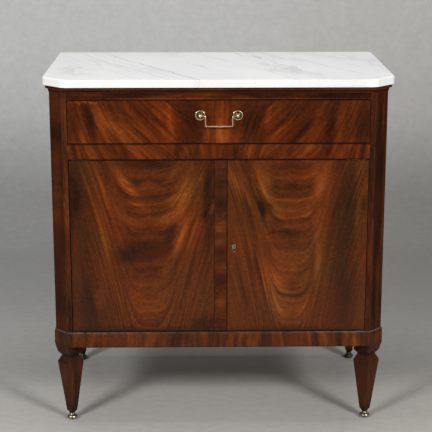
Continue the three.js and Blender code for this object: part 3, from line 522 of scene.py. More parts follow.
def painted_gap_shade():
    """The edges of the drawer and doors, painted nearly black as the shade in the gaps between them."""
    material, tree, shader = surface("painted_gap_shade", Roughness=0.6, Specular_IOR_Level=0.1)
    gap_shade_noise = noise(place_on(tree)[0], 60, 4, 0.6)
    paint(tree, shader, ramp(gap_shade_noise, [
        (0.4, (0.006, 0.003, 0.002, 1)), (0.62, (0.016, 0.007, 0.004, 1)),
        (0.74, (0.09, 0.045, 0.026, 1))]))
    return material


def upright(x, y, z):
    sway = noise(spot(x, y, z), 4, 2) - 0.5
    return x + y + sway * 0.02, z, None


rubbed_and_highlit_wood = rubbed_and_highlit_edge()
gap_shade_edge = painted_gap_shade()
POST_PATCHES = [(-394, 840, 60, 9, 0, 0.22), (-394, 760, 50, 9, 0, 0.14), (-394, 620, 90, 9, 0, 0.20),
                (-394, 460, 90, 9, 0, 0.02), (-392, 320, 60, 9, 0, -0.12), (-422, 640, 110, 14, 0, 0.20),
                (-422, 340, 90, 16, 0, -0.14), (394, 840, 60, 8, 0, 0.12), (394, 640, 120, 8, 0, -0.08),
                (394, 360, 80, 9, 0, 0.02), (424, 840, 90, 14, 0, 0.02), (424, 620, 90, 14, 0, -0.12),
                (424, 400, 60, 12, 0, 0.04), (420, 290, 40, 14, 0, 0.06)]
dress(mahogany("posts", upright, 3.0, tone=0.365, broad=0.75, fine=0.75, ragged=5.0,
               cast=DARK_CAST, patches=POST_PATCHES, gloss=0.06), 0.0009,
      "front_post_left", "front_post_right", "rear_post_left", "rear_post_right", edge=rubbed_and_highlit_wood)
dress(mahogany("sides", upright, 4.0, tone=0.42, broad=0.5, fine=0.4), 0.0008,
      "side_panel_left", "side_panel_right", edge=rubbed_and_highlit_wood)


def level_run(x, y, z):
    sway = noise(spot(x, y, z), 4, 2) - 0.5
    return z + y * 0.3 + sway * 0.02, x + y, None


# Painted bands on the coves: painted shade just under the slab and in the hollow, painted highlights on the
# lip and lower down.
COVE_PAINTED_LIGHT_AND_SHADE = [("z", 908.5, 4.0, 0.14), ("z", 915.5, 3.0, -0.5), ("z", 903.0, 1.8, -0.3),
              ("z", 898.0, 3.0, 0.08)]
dress(mahogany("coves", level_run, 5.0, tone=0.40, broad=0.5, painted_lines=COVE_PAINTED_LIGHT_AND_SHADE), 0.0003,
      "cove_front", "cove_cant_left", "cove_cant_right", "cove_side_left", "cove_side_right")

# The rails: mahogany, faced with short pieces of curl veneer that run up and down across them. The bottom
# rail and the bands beside it stand proud, and a pale painted highlight lies along their rounded upper
# edge.
FAN_LEVEL = 0.80
FAN_START = 0.3
FAN_TURN = 7.0
FAN_LIFT = 0.035


def fan(x, y, z):
    """Fibres upright in the middle, that lean outwards to either side and stand up again at the ends."""
    out = abs(x)
    rise = out + (out / FAN_START) ** FAN_TURN * FAN_LIFT
    sway = noise(spot(x, y, z), 5, 3) - 0.5
    middle = stretch(out, 0.01, 0.12, 1.0, 0.0, smooth=True)
    leaning = (z - FAN_LEVEL - rise) * 0.7
    return leaning + (x * 0.9 - leaning) * middle + sway * 0.03, out * 0.6 + z * 0.8, None


def cross_run(x, y, z):
    sway = noise(spot(x, y, z), 7, 3) - 0.5
    return x + y + sway * 0.05, z, None


# A pale painted highlight along the rail's lower edge, and painted shade just under the cove.
TOP_RAIL_PAINTED_LIGHT_AND_SHADE = [("z", 884.6, 1.6, 0.30), ("z", 898.5, 2.0, -0.16)]
dress(mahogany("top_rail", level_run, 7.0, tone=0.25, broad=1.1, fine=1.2, cast=RED_CAST,
               gloss=0.05, painted_lines=TOP_RAIL_PAINTED_LIGHT_AND_SHADE), 0.0006, "top_rail", edge=rubbed_and_highlit_wood)
MIDDLE_RAIL_PATCHES = [(-388, 747, 20, 12, 0, -0.14), (-330, 750, 18, 22, -20, 0.06),
                       (-240, 745, 24, 12, -15, -0.20), (-200, 750, 22, 12, -30, 0.14),
                       (-150, 744, 20, 24, -30, 0.06), (-107, 747, 22, 8, 0, -0.20),
                       (-84, 750, 18, 10, 0, 0.16), (-60, 747, 22, 8, 0, -0.22), (0, 750, 20, 16, 0, 0.18),
                       (40, 745, 22, 9, 10, -0.18), (78, 750, 18, 10, 20, 0.14),
                       (122, 748, 20, 18, 30, 0.12), (183, 745, 22, 10, 25, -0.18),
                       (243, 750, 18, 16, 20, 0.14), (282, 746, 22, 10, 20, -0.20),
                       (304, 748, 18, 10, 15, 0.12), (328, 747, 22, 9, 10, -0.18),
                       (372, 748, 22, 14, 0, -0.10)]
# Painted shade along the middle rail's lower and upper edges, beside the gaps.
MIDDLE_RAIL_PAINTED_SHADE = [("z", 728, 1.6, -0.2), ("z", 766, 1.6, -0.2)]
dress(mahogany("middle_rail", fan, 8.0, tone=0.54, broad=0.9, fine=0.6, ragged=8.0,
               cast=RED_CAST, patches=MIDDLE_RAIL_PATCHES, painted_lines=MIDDLE_RAIL_PAINTED_SHADE, gloss=0.06,
               strands=0.3), 0.0006, "middle_rail", edge=rubbed_and_highlit_wood)
# A band of painted shade along the bottom rail's lower edge, and a pale painted highlight along its rounded
# top.
dress(mahogany("bottom_rail", cross_run, 9.0, tone=0.51, broad=1.3, fine=0.9, veil=0.03,
               painted_lines=[("z", 219, 2.0, -0.2)], highlight_from=PAINTED_HIGHLIGHT_LEVEL), 0.0006,
      "bottom_rail", "base_band_left", "base_band_right", edge=rubbed_and_highlit_wood)

# The inside: boards, runners, shelf and back of oak, planed and left bare, brown with age and dust.
OAK_STOPS = [(0.0, (0.060, 0.030, 0.014, 1)), (0.35, (0.150, 0.082, 0.038, 1)),
             (0.6, (0.235, 0.140, 0.070, 1)), (1.0, (0.340, 0.220, 0.120, 1))]
OAK_PORE_DEPTH = 0.0003
BACK_BOARD_WIDTH = 0.132
BACK_BOARD_START = 20.5


def old_oak(name, seed, grain, tone=0.5):
    """Oak whose grain runs along X or along Y, or up the upright boards of the back."""
    material, tree, shader = surface("oak_" + name, Roughness=0.75, Specular_IOR_Level=0.25)
    at, x, y, z = place_on(tree)
    sway = noise(at, 3, 3) - 0.5
    if grain == "boards":
        run, side = z, x
    else:
        run, side = (x, y + z) if grain == "x" else (y + z, x)
    across = side + sway * 0.03
    broad = noise(spot(across * 30, run * 2.2, seed), 1, 4, 0.55)
    streak = noise(spot(across * 190, run * 7, seed + 3), 1, 4, 0.6)
    pores = noise(spot(across * 900, run * 28, seed + 6), 1, 2, 0.5)
    ray = noise(spot(across * 260, run * 55, seed + 8), 1, 1, 0.5)
    level = (broad - 0.5) * 0.9 + (streak - 0.5) * 0.5 + tone
    level += stretch(ray, 0.66, 0.74, 0.0, 0.12) - stretch(pores, 0.56, 0.7, 0.0, 0.22)
    if grain == "boards":
        board = x / BACK_BOARD_WIDTH + BACK_BOARD_START
        within = board.sum("FRACT")
        number = board.sum("FLOOR")
        level += (noise(spot(number * 3.7, 0.0, 0.0), 1, 0) - 0.5) * 0.5
        seam = stretch(abs(within - 0.5), 0.488, 0.5)
        level -= seam * 0.5
    stain = noise(at, 5, 4, 0.6)
    level += (stain - 0.5) * 0.4
    paint(tree, shader, ramp(level, OAK_STOPS))
    bump(tree, shader, streak * 0.4 + pores * 0.6, OAK_PORE_DEPTH)
    return material


dress(old_oak("boards", 2.0, "x"), 0.0006, "floor_board", "over_drawer_board", "dust_board", "shelf")
dress(old_oak("runners", 5.0, "y"), 0.0006, "drawer_runner_left", "drawer_runner_right",
      "shelf_bearer_left", "shelf_bearer_right")
dress(old_oak("back", 9.0, "boards", tone=0.42), 0.0, "back_panel")

# The legs: square mahogany legs, tapered on all sides below a moulded neck, each cut from one piece with
# the block above it. Their corners are darker, there is painted shade where the block meets the neck and in
# the creases of the neck and ankle, and a pale painted highlight lies along the block's rounded top edge.
# Among these, the darker places at Z 205, where the block meets the neck, are painted shade.
LEG_PATCHES = [(-405, 110, 70, 6, 5, -0.10), (-392, 110, 70, 4, 3, 0.06), (-384, 110, 70, 5, -4, -0.12),
               (392, 120, 80, 4, -4, 0.08), (406, 110, 70, 6, -5, 0.06), (-398, 178, 18, 40, 0, -0.14),
               (398, 178, 16, 30, 0, -0.06), (-398, 32, 14, 40, 0, -0.14), (398, 32, 14, 40, 0, -0.14),
               (-380, 205, 14, 16, 0, -0.20), (380, 205, 14, 16, 0, -0.20), (-420, 240, 20, 20, 0, 0.22),
               (420, 240, 20, 20, 0, 0.16), (-400, 240, 20, 8, 0, 0.08), (400, 240, 20, 8, 0, 0.08)]
LEG_PAINTED_SHADE = [("z", 195, 3.0, -0.2), ("z", 185, 2.5, -0.12), ("z", 26, 2.0, -0.2)]


def leg_run(x, y, z):
    sway = noise(spot(x, y, z), 9, 3) - 0.5
    return x + y * 0.4 + sway * 0.012, z, None


dress(mahogany("legs", leg_run, 11.0, tone=0.37, broad=0.7, fine=0.7, ragged=4.0, veil=0.03,
               patches=LEG_PATCHES, painted_lines=LEG_PAINTED_SHADE, highlight_from=PAINTED_HIGHLIGHT_LEVEL), 0.0007,
      "leg_front_left", "leg_front_right", "leg_rear_left", "leg_rear_right", edge=rubbed_and_highlit_wood)

# The feet: cast and turned brass, a squat ball that narrows to a neck with one fine bead, and a cup that
# takes the foot of the leg. A pin holds each in the leg. The hollows have gone dark and olive.
FOOT_PLACES = {"front_left": (-0.3985, -0.219), "front_right": (0.3985, -0.219),
               "rear_left": (-0.407, 0.2415), "rear_right": (0.407, 0.2415)}
FOOT_SOLE = 0.0052
FOOT_SOLE_EDGE = 0.0012
FOOT_BALL = (0.0140, 0.0073, 0.0077)
FOOT_BALL_END = 48
FOOT_NECK = 0.0066
FOOT_NECK_FLARE = 0.0008
FOOT_COLLAR = 0.0170
FOOT_BEAD = (0.0010, 0.0005)
FOOT_CUP_LEVEL = 0.0187
FOOT_CUP = (0.0013, 0.0004)
FOOT_CUP_TOP = 0.01895
FOOT_PIN_RADIUS = 0.0030
FOOT_PIN_TOP = 0.0330
FOOT_STEPS = 56
BRASS_PITTING = 0.00008
BRASS_GREASE = (0.085, 0.066, 0.026, 1)
DISH_BLUR = 0.0006
POLE_WELD = 1e-6
TURNED_ANGLE = math.radians(50)


def old_brass(name, glow, shade, dullness):
    material, tree, shader = surface(name, Metallic=1.0)
    at = place_on(tree)[0]
    bloom = noise(at, 150, 5, 0.65)
    speck = noise(at, 900, 3, 0.6)
    tarnish = stretch(bloom * 0.75 + speck * 0.25, 0.42, 0.60)
    paint(tree, shader, blend_colours(tree, tarnish, glow, shade))
    connect(tree, shader.inputs["Roughness"], tarnish * 0.22 + dullness)
    bump(tree, shader, speck * 0.5 + bloom * 0.5, BRASS_PITTING)
    return material


def dished(material, centre_x, centre_z, dark_from, dark_to):
    """Darkens the hollow of a dished plate, between two distances from its middle, left and right alike."""
    x, _, z = place_on(material.node_tree)[1:]
    aside, rise = abs(x) - centre_x, z - centre_z
    away = (aside * aside + rise * rise).sum("SQRT")
    beyond_boss = stretch(away, dark_from - DISH_BLUR, dark_from + DISH_BLUR)
    within_rim = stretch(away, dark_to - DISH_BLUR, dark_to + DISH_BLUR, 1.0, 0.0)
    return paint_over(material, beyond_boss * within_rim * 0.9, BRASS_GREASE)


def outline_points(first, *curves):
    points = [Vector((first[0], 0, first[1]))]
    for curve in curves:
        points += [Vector((radius, 0, level)) for radius, level in curve]
    return points


def turn_round(made, points, steps):
    """A full spin of an outline about the Z axis, closed at its poles."""
    outline = [made.verts.new(point) for point in points]
    edges = [made.edges.new(pair) for pair in zip(outline, outline[1:])]
    bmesh.ops.spin(made, geom=outline + edges, axis=(0, 0, 1), cent=(0, 0, 0), steps=steps,
                   angle=2 * math.pi, use_merge=True)
    bmesh.ops.remove_doubles(made, verts=made.verts, dist=POLE_WELD)
    bmesh.ops.recalc_face_normals(made, faces=made.faces)


def foot_outline():
    reach, middle, half = FOOT_BALL
    low = math.degrees(math.asin((FOOT_SOLE_EDGE - middle) / half))
    ball = arc((0, middle), (reach, half), low, FOOT_BALL_END, 14)
    shoulder, shoulder_level = ball[-1]
    hollow = arc((shoulder + FOOT_NECK_FLARE, FOOT_COLLAR),
                 (shoulder - FOOT_NECK + FOOT_NECK_FLARE, FOOT_COLLAR - shoulder_level), 262, 185, 8)
    bead = arc((FOOT_NECK, FOOT_COLLAR + FOOT_BEAD[1]), FOOT_BEAD, -80, 80, 6)
    cup = arc((FOOT_NECK, FOOT_CUP_LEVEL), FOOT_CUP, -80, 30, 5)
    pin = [(FOOT_PIN_RADIUS, FOOT_CUP_TOP), (FOOT_PIN_RADIUS, FOOT_PIN_TOP), (0.0, FOOT_PIN_TOP)]
    return outline_points((0.0, 0.0), [(FOOT_SOLE, 0.0)], ball, hollow, bead, cup, pin)


foot_brass = old_brass("foot_brass", (0.50, 0.43, 0.32, 1), (0.075, 0.060, 0.038, 1), 0.27)
# The rear feet get a darker copy of the brass: painted shade for the shade under the case.
rear_shaded_brass = old_brass("rear_foot_painted_shade_brass", (0.16, 0.13, 0.09, 1), (0.05, 0.04, 0.025, 1), 0.36)
for corner, (foot_x, foot_y) in FOOT_PLACES.items():
    def brass_foot(made):
        turn_round(made, foot_outline(), FOOT_STEPS)
        bmesh.ops.translate(made, verts=made.verts, vec=(foot_x, foot_y, 0))

    brass = foot_brass if corner.startswith("front") else rear_shaded_brass
    foot = mesh_object("brass_foot_" + corner, brass_foot, brass, smooth_angle=TURNED_ANGLE)
    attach(foot, "cabinet")
    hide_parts("foot_" + corner)

# The drawer: a mahogany front faced with curl veneer whose figure fans out from the middle, on an oak box
# dovetailed at its four corners.
DRAWER_PATCHES = [
    (-334, 833, 60, 12, -15, -0.28), (-300, 815, 60, 10, -25, 0.08), (-350, 790, 30, 16, -15, 0.10),
    (-262, 812, 66, 12, -42, 0.16), (-225, 832, 50, 8, -48, -0.14), (-200, 800, 60, 12, -42, 0.16),
    (-160, 850, 40, 12, -40, 0.10), (-124, 825, 52, 9, -4, 0.20), (-140, 790, 30, 14, -35, 0.12),
    (-72, 826, 66, 36, 0, -0.30), (-50, 785, 30, 30, 0, -0.10), (-6, 788, 32, 34, 0, 0.22),
    (2, 826, 60, 9, 0, 0.16), (24, 850, 34, 20, 0, 0.06), (86, 826, 62, 34, 0, -0.28),
    (126, 845, 42, 9, 2, 0.16), (150, 795, 50, 12, 42, 0.10), (176, 812, 60, 12, 46, 0.14),
    (215, 800, 50, 8, 40, -0.12), (259, 850, 42, 14, 32, 0.16), (250, 800, 40, 12, 30, 0.08),
    (287, 812, 62, 11, 13, -0.26), (315, 812, 50, 9, 10, 0.16), (340, 850, 30, 10, 10, 0.10),
    (372, 820, 64, 22, 4, -0.22), (-370, 828, 60, 18, 0, -0.16), (250, 825, 90, 130, 0, -0.15),
    (-340, 876, 3, 40, 0, 0.3)]
# Painted shade along the drawer's lower and upper edges, beside the gaps.
DRAWER_PAINTED_SHADE = [("z", 769.5, 1.2, -0.4), ("z", 880, 1.2, -0.3)]
DRAWER_INSIDE = -0.2360
dress(mahogany("drawer", fan, 14.0, tone=0.54, broad=0.5, fine=0.7, ragged=10.0,
               cast=RED_CAST, patches=DRAWER_PATCHES, painted_lines=DRAWER_PAINTED_SHADE, gloss=0.05, strands=0.38,
               plain_behind=DRAWER_INSIDE), 0.0006, "drawer_front", edge=gap_shade_edge)
dress(old_oak("drawer", 12.0, "y", tone=0.58), 0.0004, "drawer_side_left", "drawer_side_right")
dress(old_oak("drawer_cross", 15.0, "x", tone=0.58), 0.0004, "drawer_back", "drawer_bottom")

# The handle: two dished rosettes, two ball-headed posts that pass through the drawer front, and a bail
# between the balls, all of brass. Each post has a thread inside the drawer, with a washer and a nut.
HANDLE_HALF = 0.048
HANDLE_LEVEL = 0.842
FRONT_FACE = -0.2555
FRONT_BACK = -0.2355
ROSETTE_BORE = 0.0033
ROSETTE_BOSS = 0.0038
ROSETTE_EDGE = 0.0131
ROSETTE_UNDER = 0.0001
ROSETTE_FACE = 0.0026
# Each curve of the two outlines has its centre, and its reach outwards and upwards
RIM = ((0.0114, 0.0010), (0.0018, 0.0016))
DISH = ((0.0085, 0.0024), (0.0011, 0.0017))
BEAD = ((0.0066, 0.0009), (0.0008, 0.0009))
BOSS_FOOT = ((0.0044, 0.0026), (0.0014, 0.0016))
ROSETTE_STEPS = 64
DARK_FROM = 0.0046
DARK_TO = 0.0094
POST_RADIUS = 0.0030
POST_TIP = 0.0028
POST_END = -0.0280
POST_TAPER = -0.0275
COLLAR_UNDER = 0.0027
COLLAR_START = 0.0036
COLLAR = ((0.0034, 0.0036), (0.0010, 0.0009))
NECK = ((0.0039, 0.0062), (0.0012, 0.0016))
NECK_RADIUS = 0.0027
BALL_OUT = 0.0118
BALL_RADIUS = 0.0047
POST_STEPS = 48


def rosette_outline():
    bore = [(ROSETTE_BOSS, ROSETTE_FACE), (ROSETTE_BORE, ROSETTE_FACE), (ROSETTE_BORE, ROSETTE_UNDER)]
    return outline_points((ROSETTE_BORE, ROSETTE_UNDER), [(ROSETTE_EDGE, ROSETTE_UNDER)],
                          arc(*RIM, 0, 180, 12), arc(*DISH, -10, -90, 6), arc(*BEAD, 0, 180, 8),
                          arc(*BOSS_FOOT, -90, -180, 5), bore)


def post_outline():
    under = math.degrees(math.acos(NECK_RADIUS / BALL_RADIUS))
    stem = [(POST_TIP, POST_END), (POST_RADIUS, POST_TAPER), (POST_RADIUS, COLLAR_UNDER),
            (COLLAR_START, COLLAR_UNDER)]
    ball = arc((0, BALL_OUT), (BALL_RADIUS, BALL_RADIUS), -under, 90, 18)
    return outline_points((0.0, POST_END), stem, arc(*COLLAR, -80, 60, 6), arc(*NECK, 250, 180, 5), ball)


NUT_BORE = 0.0031
NUT_REACH = 0.0068
NUT_SIDES = 8
NUT_THICKNESS = 0.0042
NUT_LEVEL = 0.0014
WASHER_TOP = 0.0013
WASHER_STEPS = 32
WASHER_OUTLINE = [(0.0072, 0.0), (0.0074, 0.0004), (0.0070, WASHER_TOP), (NUT_BORE, WASHER_TOP),
                  (NUT_BORE, 0.0)]
NUT_ANGLE = math.radians(35)


def set_on_drawer(made, sign, face=FRONT_FACE, way=1):
    """Turns what was made upright to stand out of the drawer's front, or of its back where way is -1."""
    place = Matrix.Translation((sign * HANDLE_HALF, face, HANDLE_LEVEL))
    bmesh.ops.transform(made, matrix=place @ Matrix.Rotation(way * math.pi / 2, 4, "X"), verts=made.verts)


def washer_and_nut(made):
    """A round washer, and a square nut with its corners knocked off, bored for the post."""
    turn_round(made, outline_points((NUT_BORE, 0.0), WASHER_OUTLINE), WASHER_STEPS)
    rings = []
    for radius in (NUT_REACH, NUT_BORE):
        rings += bmesh.ops.create_circle(made, cap_ends=False, radius=radius, segments=NUT_SIDES,
                                         matrix=Matrix.Translation((0, 0, NUT_LEVEL)))["verts"]
    edges = {edge for vert in rings for edge in vert.link_edges}
    ring = bmesh.ops.bridge_loops(made, edges=list(edges))["faces"]
    bmesh.ops.solidify(made, geom=ring, thickness=NUT_THICKNESS)
    bmesh.ops.recalc_face_normals(made, faces=made.faces)


handle_brass = old_brass("handle_brass", (0.92, 0.80, 0.52, 1), (0.60, 0.48, 0.26, 1), 0.24)
rosette_brass = dished(old_brass("rosette_brass", (0.86, 0.68, 0.44, 1), (0.46, 0.34, 0.20, 1), 0.20),
                       HANDLE_HALF, HANDLE_LEVEL, DARK_FROM, DARK_TO)
nut_brass = old_brass("nut_brass", (0.40, 0.31, 0.17, 1), (0.12, 0.09, 0.05, 1), 0.40)
for side, sign in SIDES:
    def rosette(made):
        turn_round(made, rosette_outline(), ROSETTE_STEPS)
        set_on_drawer(made, sign)

    def post(made):
        turn_round(made, post_outline(), POST_STEPS)
        set_on_drawer(made, sign)

    def fixing(made):
        washer_and_nut(made)
        set_on_drawer(made, sign, face=FRONT_BACK, way=-1)

    plate = mesh_object("rosette_" + side, rosette, rosette_brass, smooth_angle=TURNED_ANGLE)
    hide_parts("handle_rosette_" + side)
    stud = mesh_object("ball_post_" + side, post, handle_brass, smooth_angle=TURNED_ANGLE)
    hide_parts("handle_post_" + side)
    nut = mesh_object("washer_and_nut_" + side, fixing, nut_brass, smooth_angle=NUT_ANGLE)
    for piece in (plate, stud, nut):
        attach(piece, "drawer")

BAIL_DROP = 0.027
BAIL_ARM = 0.0346
BAIL_SHOULDER = 0.0035
BAIL_CORNER = 0.0018
BAIL_IN_BALL = 0.0012
BAIL_SWELL_HALF = 0.031
BAIL_SWELL_STEPS = 14
BAIL_BEND_STEPS = 6
BAIL_THIN = 0.00155
BAIL_THICK = 0.00265
BAIL_SIDES = 20


def bail_stations():
    """Centres and radii along half of the bail, from its middle to where it enters the ball."""
    shares = [i / BAIL_SWELL_STEPS for i in range(BAIL_SWELL_STEPS + 1)]
    centres = [(BAIL_SWELL_HALF * share, -BAIL_DROP) for share in shares]
    radii = [BAIL_THIN + (BAIL_THICK - BAIL_THIN) * math.cos(math.pi / 2 * share) ** 1.5
             for share in shares]
    corner = arc((BAIL_ARM - BAIL_CORNER, BAIL_CORNER - BAIL_DROP), (BAIL_CORNER, BAIL_CORNER), -90, 0,
                 BAIL_BEND_STEPS + 1)
    shoulder = arc((BAIL_ARM + BAIL_SHOULDER, -BAIL_SHOULDER), (BAIL_SHOULDER, BAIL_SHOULDER), 180, 90,
                   BAIL_BEND_STEPS)
    rise = -BAIL_SHOULDER - corner[-1][1]
    straight = [(BAIL_ARM, corner[-1][1] + rise * i / BAIL_BEND_STEPS) for i in range(1, BAIL_BEND_STEPS)]
    centres += corner[1:] + straight + shoulder + [(HANDLE_HALF - BALL_RADIUS + BAIL_IN_BALL, 0.0)]
    radii += [BAIL_THIN] * (len(centres) - len(radii))
    return centres, radii


def bail(made):
    half, half_radii = bail_stations()
    centres = [(-x, z) for x, z in reversed(half[1:])] + half
    radii = half_radii[:0:-1] + half_radii
    loops = []
    for i, ((x, z), radius) in enumerate(zip(centres, radii)):
        before, after = centres[max(i - 1, 0)], centres[min(i + 1, len(centres) - 1)]
        way = (after[0] - before[0], 0, after[1] - before[1])
        place = (x, FRONT_FACE - BALL_OUT, HANDLE_LEVEL + z)
        capped = i in (0, len(centres) - 1)
        ring = bmesh.ops.create_circle(made, cap_ends=capped, radius=radius, segments=BAIL_SIDES,
                                       matrix=turned_to(place, way))["verts"]
        loops.append(list({edge for vert in ring for edge in vert.link_edges}))
    for lower, upper in zip(loops, loops[1:]):
        bmesh.ops.bridge_loops(made, edges=lower + upper)
    bmesh.ops.recalc_face_normals(made, faces=made.faces)


bail_brass = old_brass("bail_brass", (0.80, 0.63, 0.43, 1), (0.48, 0.35, 0.21, 1), 0.26)
swinging_bail = mesh_object("bail", bail, bail_brass, smooth_angle=TURNED_ANGLE)
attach(swinging_bail, "bail")
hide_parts("handle_bail")

# The doors: flush boards faced with crotch mahogany, cut where a branch left the trunk, so that the fibres
# fall in plumes to either side of a middle line. A strip stands proud along the left one's meeting edge.
PLUME_STEEPNESS = 1300.0
PLUME_POWER = 4.0
PLUME_NARROWING = 7.0
PLUME_MIDDLE = 0.5


def plume(axis, left_share, right_share):
    """Fibres that fall away steeply on both sides of an axis, by a share of their own on each side."""
    def fibres(x, y, z):
        out = x - axis
        reach = abs(out) * stretch(out, -0.03, 0.03, left_share, right_share, smooth=True)
        narrowing = ((z * -1.0 + PLUME_MIDDLE) * PLUME_NARROWING).sum("EXPONENT")
        sway = (noise(spot(x, y, z), 6, 3) - 0.5) * 0.03
        ripple = (noise(spot(x, y, z), 24, 2) - 0.5) * 0.009
        rise = reach ** PLUME_POWER * PLUME_STEEPNESS * narrowing
        across = z - rise + sway + ripple
        return across, abs(out) + z * 0.4, stretch(reach, 0.055, 0.085, smooth=True)
    return fibres


# Painted shade along the foot and the top of each door, beside the gaps; the strip shares the one at the
# foot.
DOOR_FOOT_PAINTED_SHADE = ("z", 262.5, 2.6, -0.5)
DOOR_PAINTED_SHADE = [DOOR_FOOT_PAINTED_SHADE, ("z", 724.5, 1.4, -0.3)]
DOOR_INSIDE = -0.2340
LEFT_DOOR_PATCHES = [
    (-239, 658, 74, 13, -36, 0.34), (-303, 662, 62, 8, -16, 0.12), (-286, 610, 60, 10, -18, 0.06),
    (-300, 522, 66, 10, -13, 0.26), (-87, 649, 88, 24, 31, 0.42), (-120, 690, 40, 8, 34, 0.16),
    (-99, 526, 58, 13, 21, 0.28), (-139, 435, 26, 12, 30, 0.14), (-92, 436, 95, 8, 15, 0.10),
    (-60, 560, 60, 10, 14, 0.08), (-183, 716, 16, 66, 0, -0.24), (-79, 664, 48, 4, 30, -0.24),
    (-110, 610, 40, 4, 28, -0.16), (-218, 667, 14, 14, 0, -0.14), (-201, 481, 34, 66, 0, -0.22),
    (-243, 468, 20, 30, 0, -0.14), (-124, 527, 32, 13, 30, -0.24), (-374, 640, 90, 20, 0, -0.26),
    (-370, 604, 20, 8, 0, -0.20), (-350, 460, 260, 26, -3, -0.14), (-314, 355, 34, 16, -3, 0.16),
    (-317, 388, 4, 4, 0, -0.40), (-185, 600, 50, 46, 0, 0.05), (-180, 370, 62, 80, 0, 0.06),
    (-74, 420, 110, 7, 15, -0.12), (-28, 640, 105, 14, 0, -0.30), (-34, 582, 18, 16, 0, -0.16),
    (-30, 480, 90, 10, 5, -0.10), (-200, 268, 10, 190, 0, -0.22), (-38, 284, 22, 34, 0, -0.28),
    (-340, 320, 80, 60, 0, -0.12), (-383, 480, 260, 6, 0, -0.16)]
dress(mahogany("left_door", plume(-0.186, 1.25, 1.0), 21.0, tone=0.53, broad=0.5, fine=0.68,
               hairs=0.22, patches=LEFT_DOOR_PATCHES, painted_lines=DOOR_PAINTED_SHADE, veil=0.03,
               plain_behind=DOOR_INSIDE), 0.0006, "door_left", edge=gap_shade_edge)

RIGHT_DOOR_PATCHES = [
    (52, 653, 60, 12, -30, 0.24), (124, 640, 60, 8, -19, 0.22), (150, 600, 40, 10, -30, 0.10),
    (104, 622, 80, 8, -22, -0.30), (117, 606, 24, 10, -20, -0.30), (190, 603, 40, 66, 0, 0.06),
    (186, 712, 16, 60, 0, -0.16), (188, 648, 14, 20, 0, -0.14), (186, 530, 14, 24, 0, -0.22),
    (152, 534, 4, 30, 0, -0.20), (255, 622, 84, 20, 24, 0.14), (261, 470, 70, 9, 2, 0.20),
    (150, 379, 78, 34, -12, 0.26), (225, 365, 66, 34, 0, 0.08), (190, 450, 60, 50, 0, 0.06),
    (326, 480, 260, 34, 0, -0.21), (362, 575, 84, 5, 0, 0.10), (345, 600, 120, 18, 0, -0.12),
    (378, 607, 24, 9, 0, -0.22), (115, 388, 96, 5, -16, -0.26), (77, 461, 62, 5, -17, -0.16),
    (66, 374, 66, 8, -15, -0.14), (60, 500, 60, 10, -16, 0.08), (95, 480, 70, 6, -16, 0.10),
    (40, 330, 60, 18, -6, 0.06), (330, 350, 90, 40, 0, -0.06), (200, 266, 8, 190, 0, -0.16),
    (240, 690, 30, 16, 26, 0.12)]
dress(mahogany("right_door", plume(0.190, 1.3, 1.3), 27.0, tone=0.55, broad=0.45, fine=0.65,
               hairs=0.26, patches=RIGHT_DOOR_PATCHES, painted_lines=DOOR_PAINTED_SHADE, veil=0.035,
               plain_behind=DOOR_INSIDE), 0.0006, "door_right", edge=gap_shade_edge)

STRIP_PATCHES = [(4, 690, 40, 24, 0, -0.06), (4, 620, 50, 24, 0, -0.20), (4, 536, 34, 20, 0, 0.26),
                 (4, 480, 14, 24, 0, -0.24), (4, 400, 30, 24, 0, -0.10), (4, 348, 26, 16, 0, 0.14),
                 (4, 284, 26, 24, 0, -0.16)]
dress(mahogany("strip", level_run, 31.0, tone=0.48, broad=0.6, fine=0.45, ragged=6.0,
               cast=DARK_CAST, patches=STRIP_PATCHES, painted_lines=[DOOR_FOOT_PAINTED_SHADE]), 0.0009,
      "meeting_strip", edge=gap_shade_edge)

# The locks and hinges: a brass escutcheon let in round the keyhole, a brass lock let into the right door,
# an iron bolt on the back of the left one, and brass pivot plates. Slotted screws hold them.
IRON_BARE = (0.16, 0.15, 0.14, 1)
IRON_RUST = (0.075, 0.035, 0.02, 1)
IRON_PITTING = 0.0002
LOCK_GLOW = (0.58, 0.47, 0.29, 1)
LOCK_SHADE = (0.20, 0.16, 0.09, 1)
LOCK_DULLNESS = 0.28
LOCK_FRONT = -0.2442
LOCK_PAINTED_SHADE = (0.012, 0.008, 0.005, 1)
SHADE_BLUR = 0.0004
FITTING_EASE = 0.0003


def old_iron():
    material, tree, shader = surface("old_iron", Metallic=0.85)
    at = place_on(tree)[0]
    rust = stretch(noise(at, 90, 6, 0.65), 0.46, 0.62)
    paint(tree, shader, blend_colours(tree, rust, IRON_BARE, IRON_RUST))
    connect(tree, shader.inputs["Roughness"], rust * 0.35 + 0.4)
    bump(tree, shader, noise(at, 300, 4), IRON_PITTING)
    return material


def shaded_within(material, within):
    """Paints a lock's face inside the door nearly black, in front of the given Y: painted shade in the
    keyhole.
    """
    y = place_on(material.node_tree)[2]
    inside = stretch(y, within - SHADE_BLUR, within + SHADE_BLUR, 0.95, 0.0)
    return paint_over(material, inside, LOCK_PAINTED_SHADE)


lock_brass = old_brass("lock_brass", LOCK_GLOW, LOCK_SHADE, LOCK_DULLNESS)
keyhole_brass = old_brass("keyhole_brass", (0.52, 0.42, 0.33, 1), (0.035, 0.024, 0.014, 1), 0.30)
dress(keyhole_brass, 0.0, "keyhole_escutcheon")
# The lock's face seen through the keyhole is painted nearly black: painted shade.
case_brass = shaded_within(old_brass("case_brass", LOCK_GLOW, LOCK_SHADE, LOCK_DULLNESS), LOCK_FRONT)
dress(case_brass, FITTING_EASE, "lock_case")
dress(lock_brass, FITTING_EASE, "lock_bolt", *(name for name in nodes if name.startswith("pivot")))
bolt_iron = old_iron()
dress(bolt_iron, FITTING_EASE, "door_bolt", "door_bolt_plate")

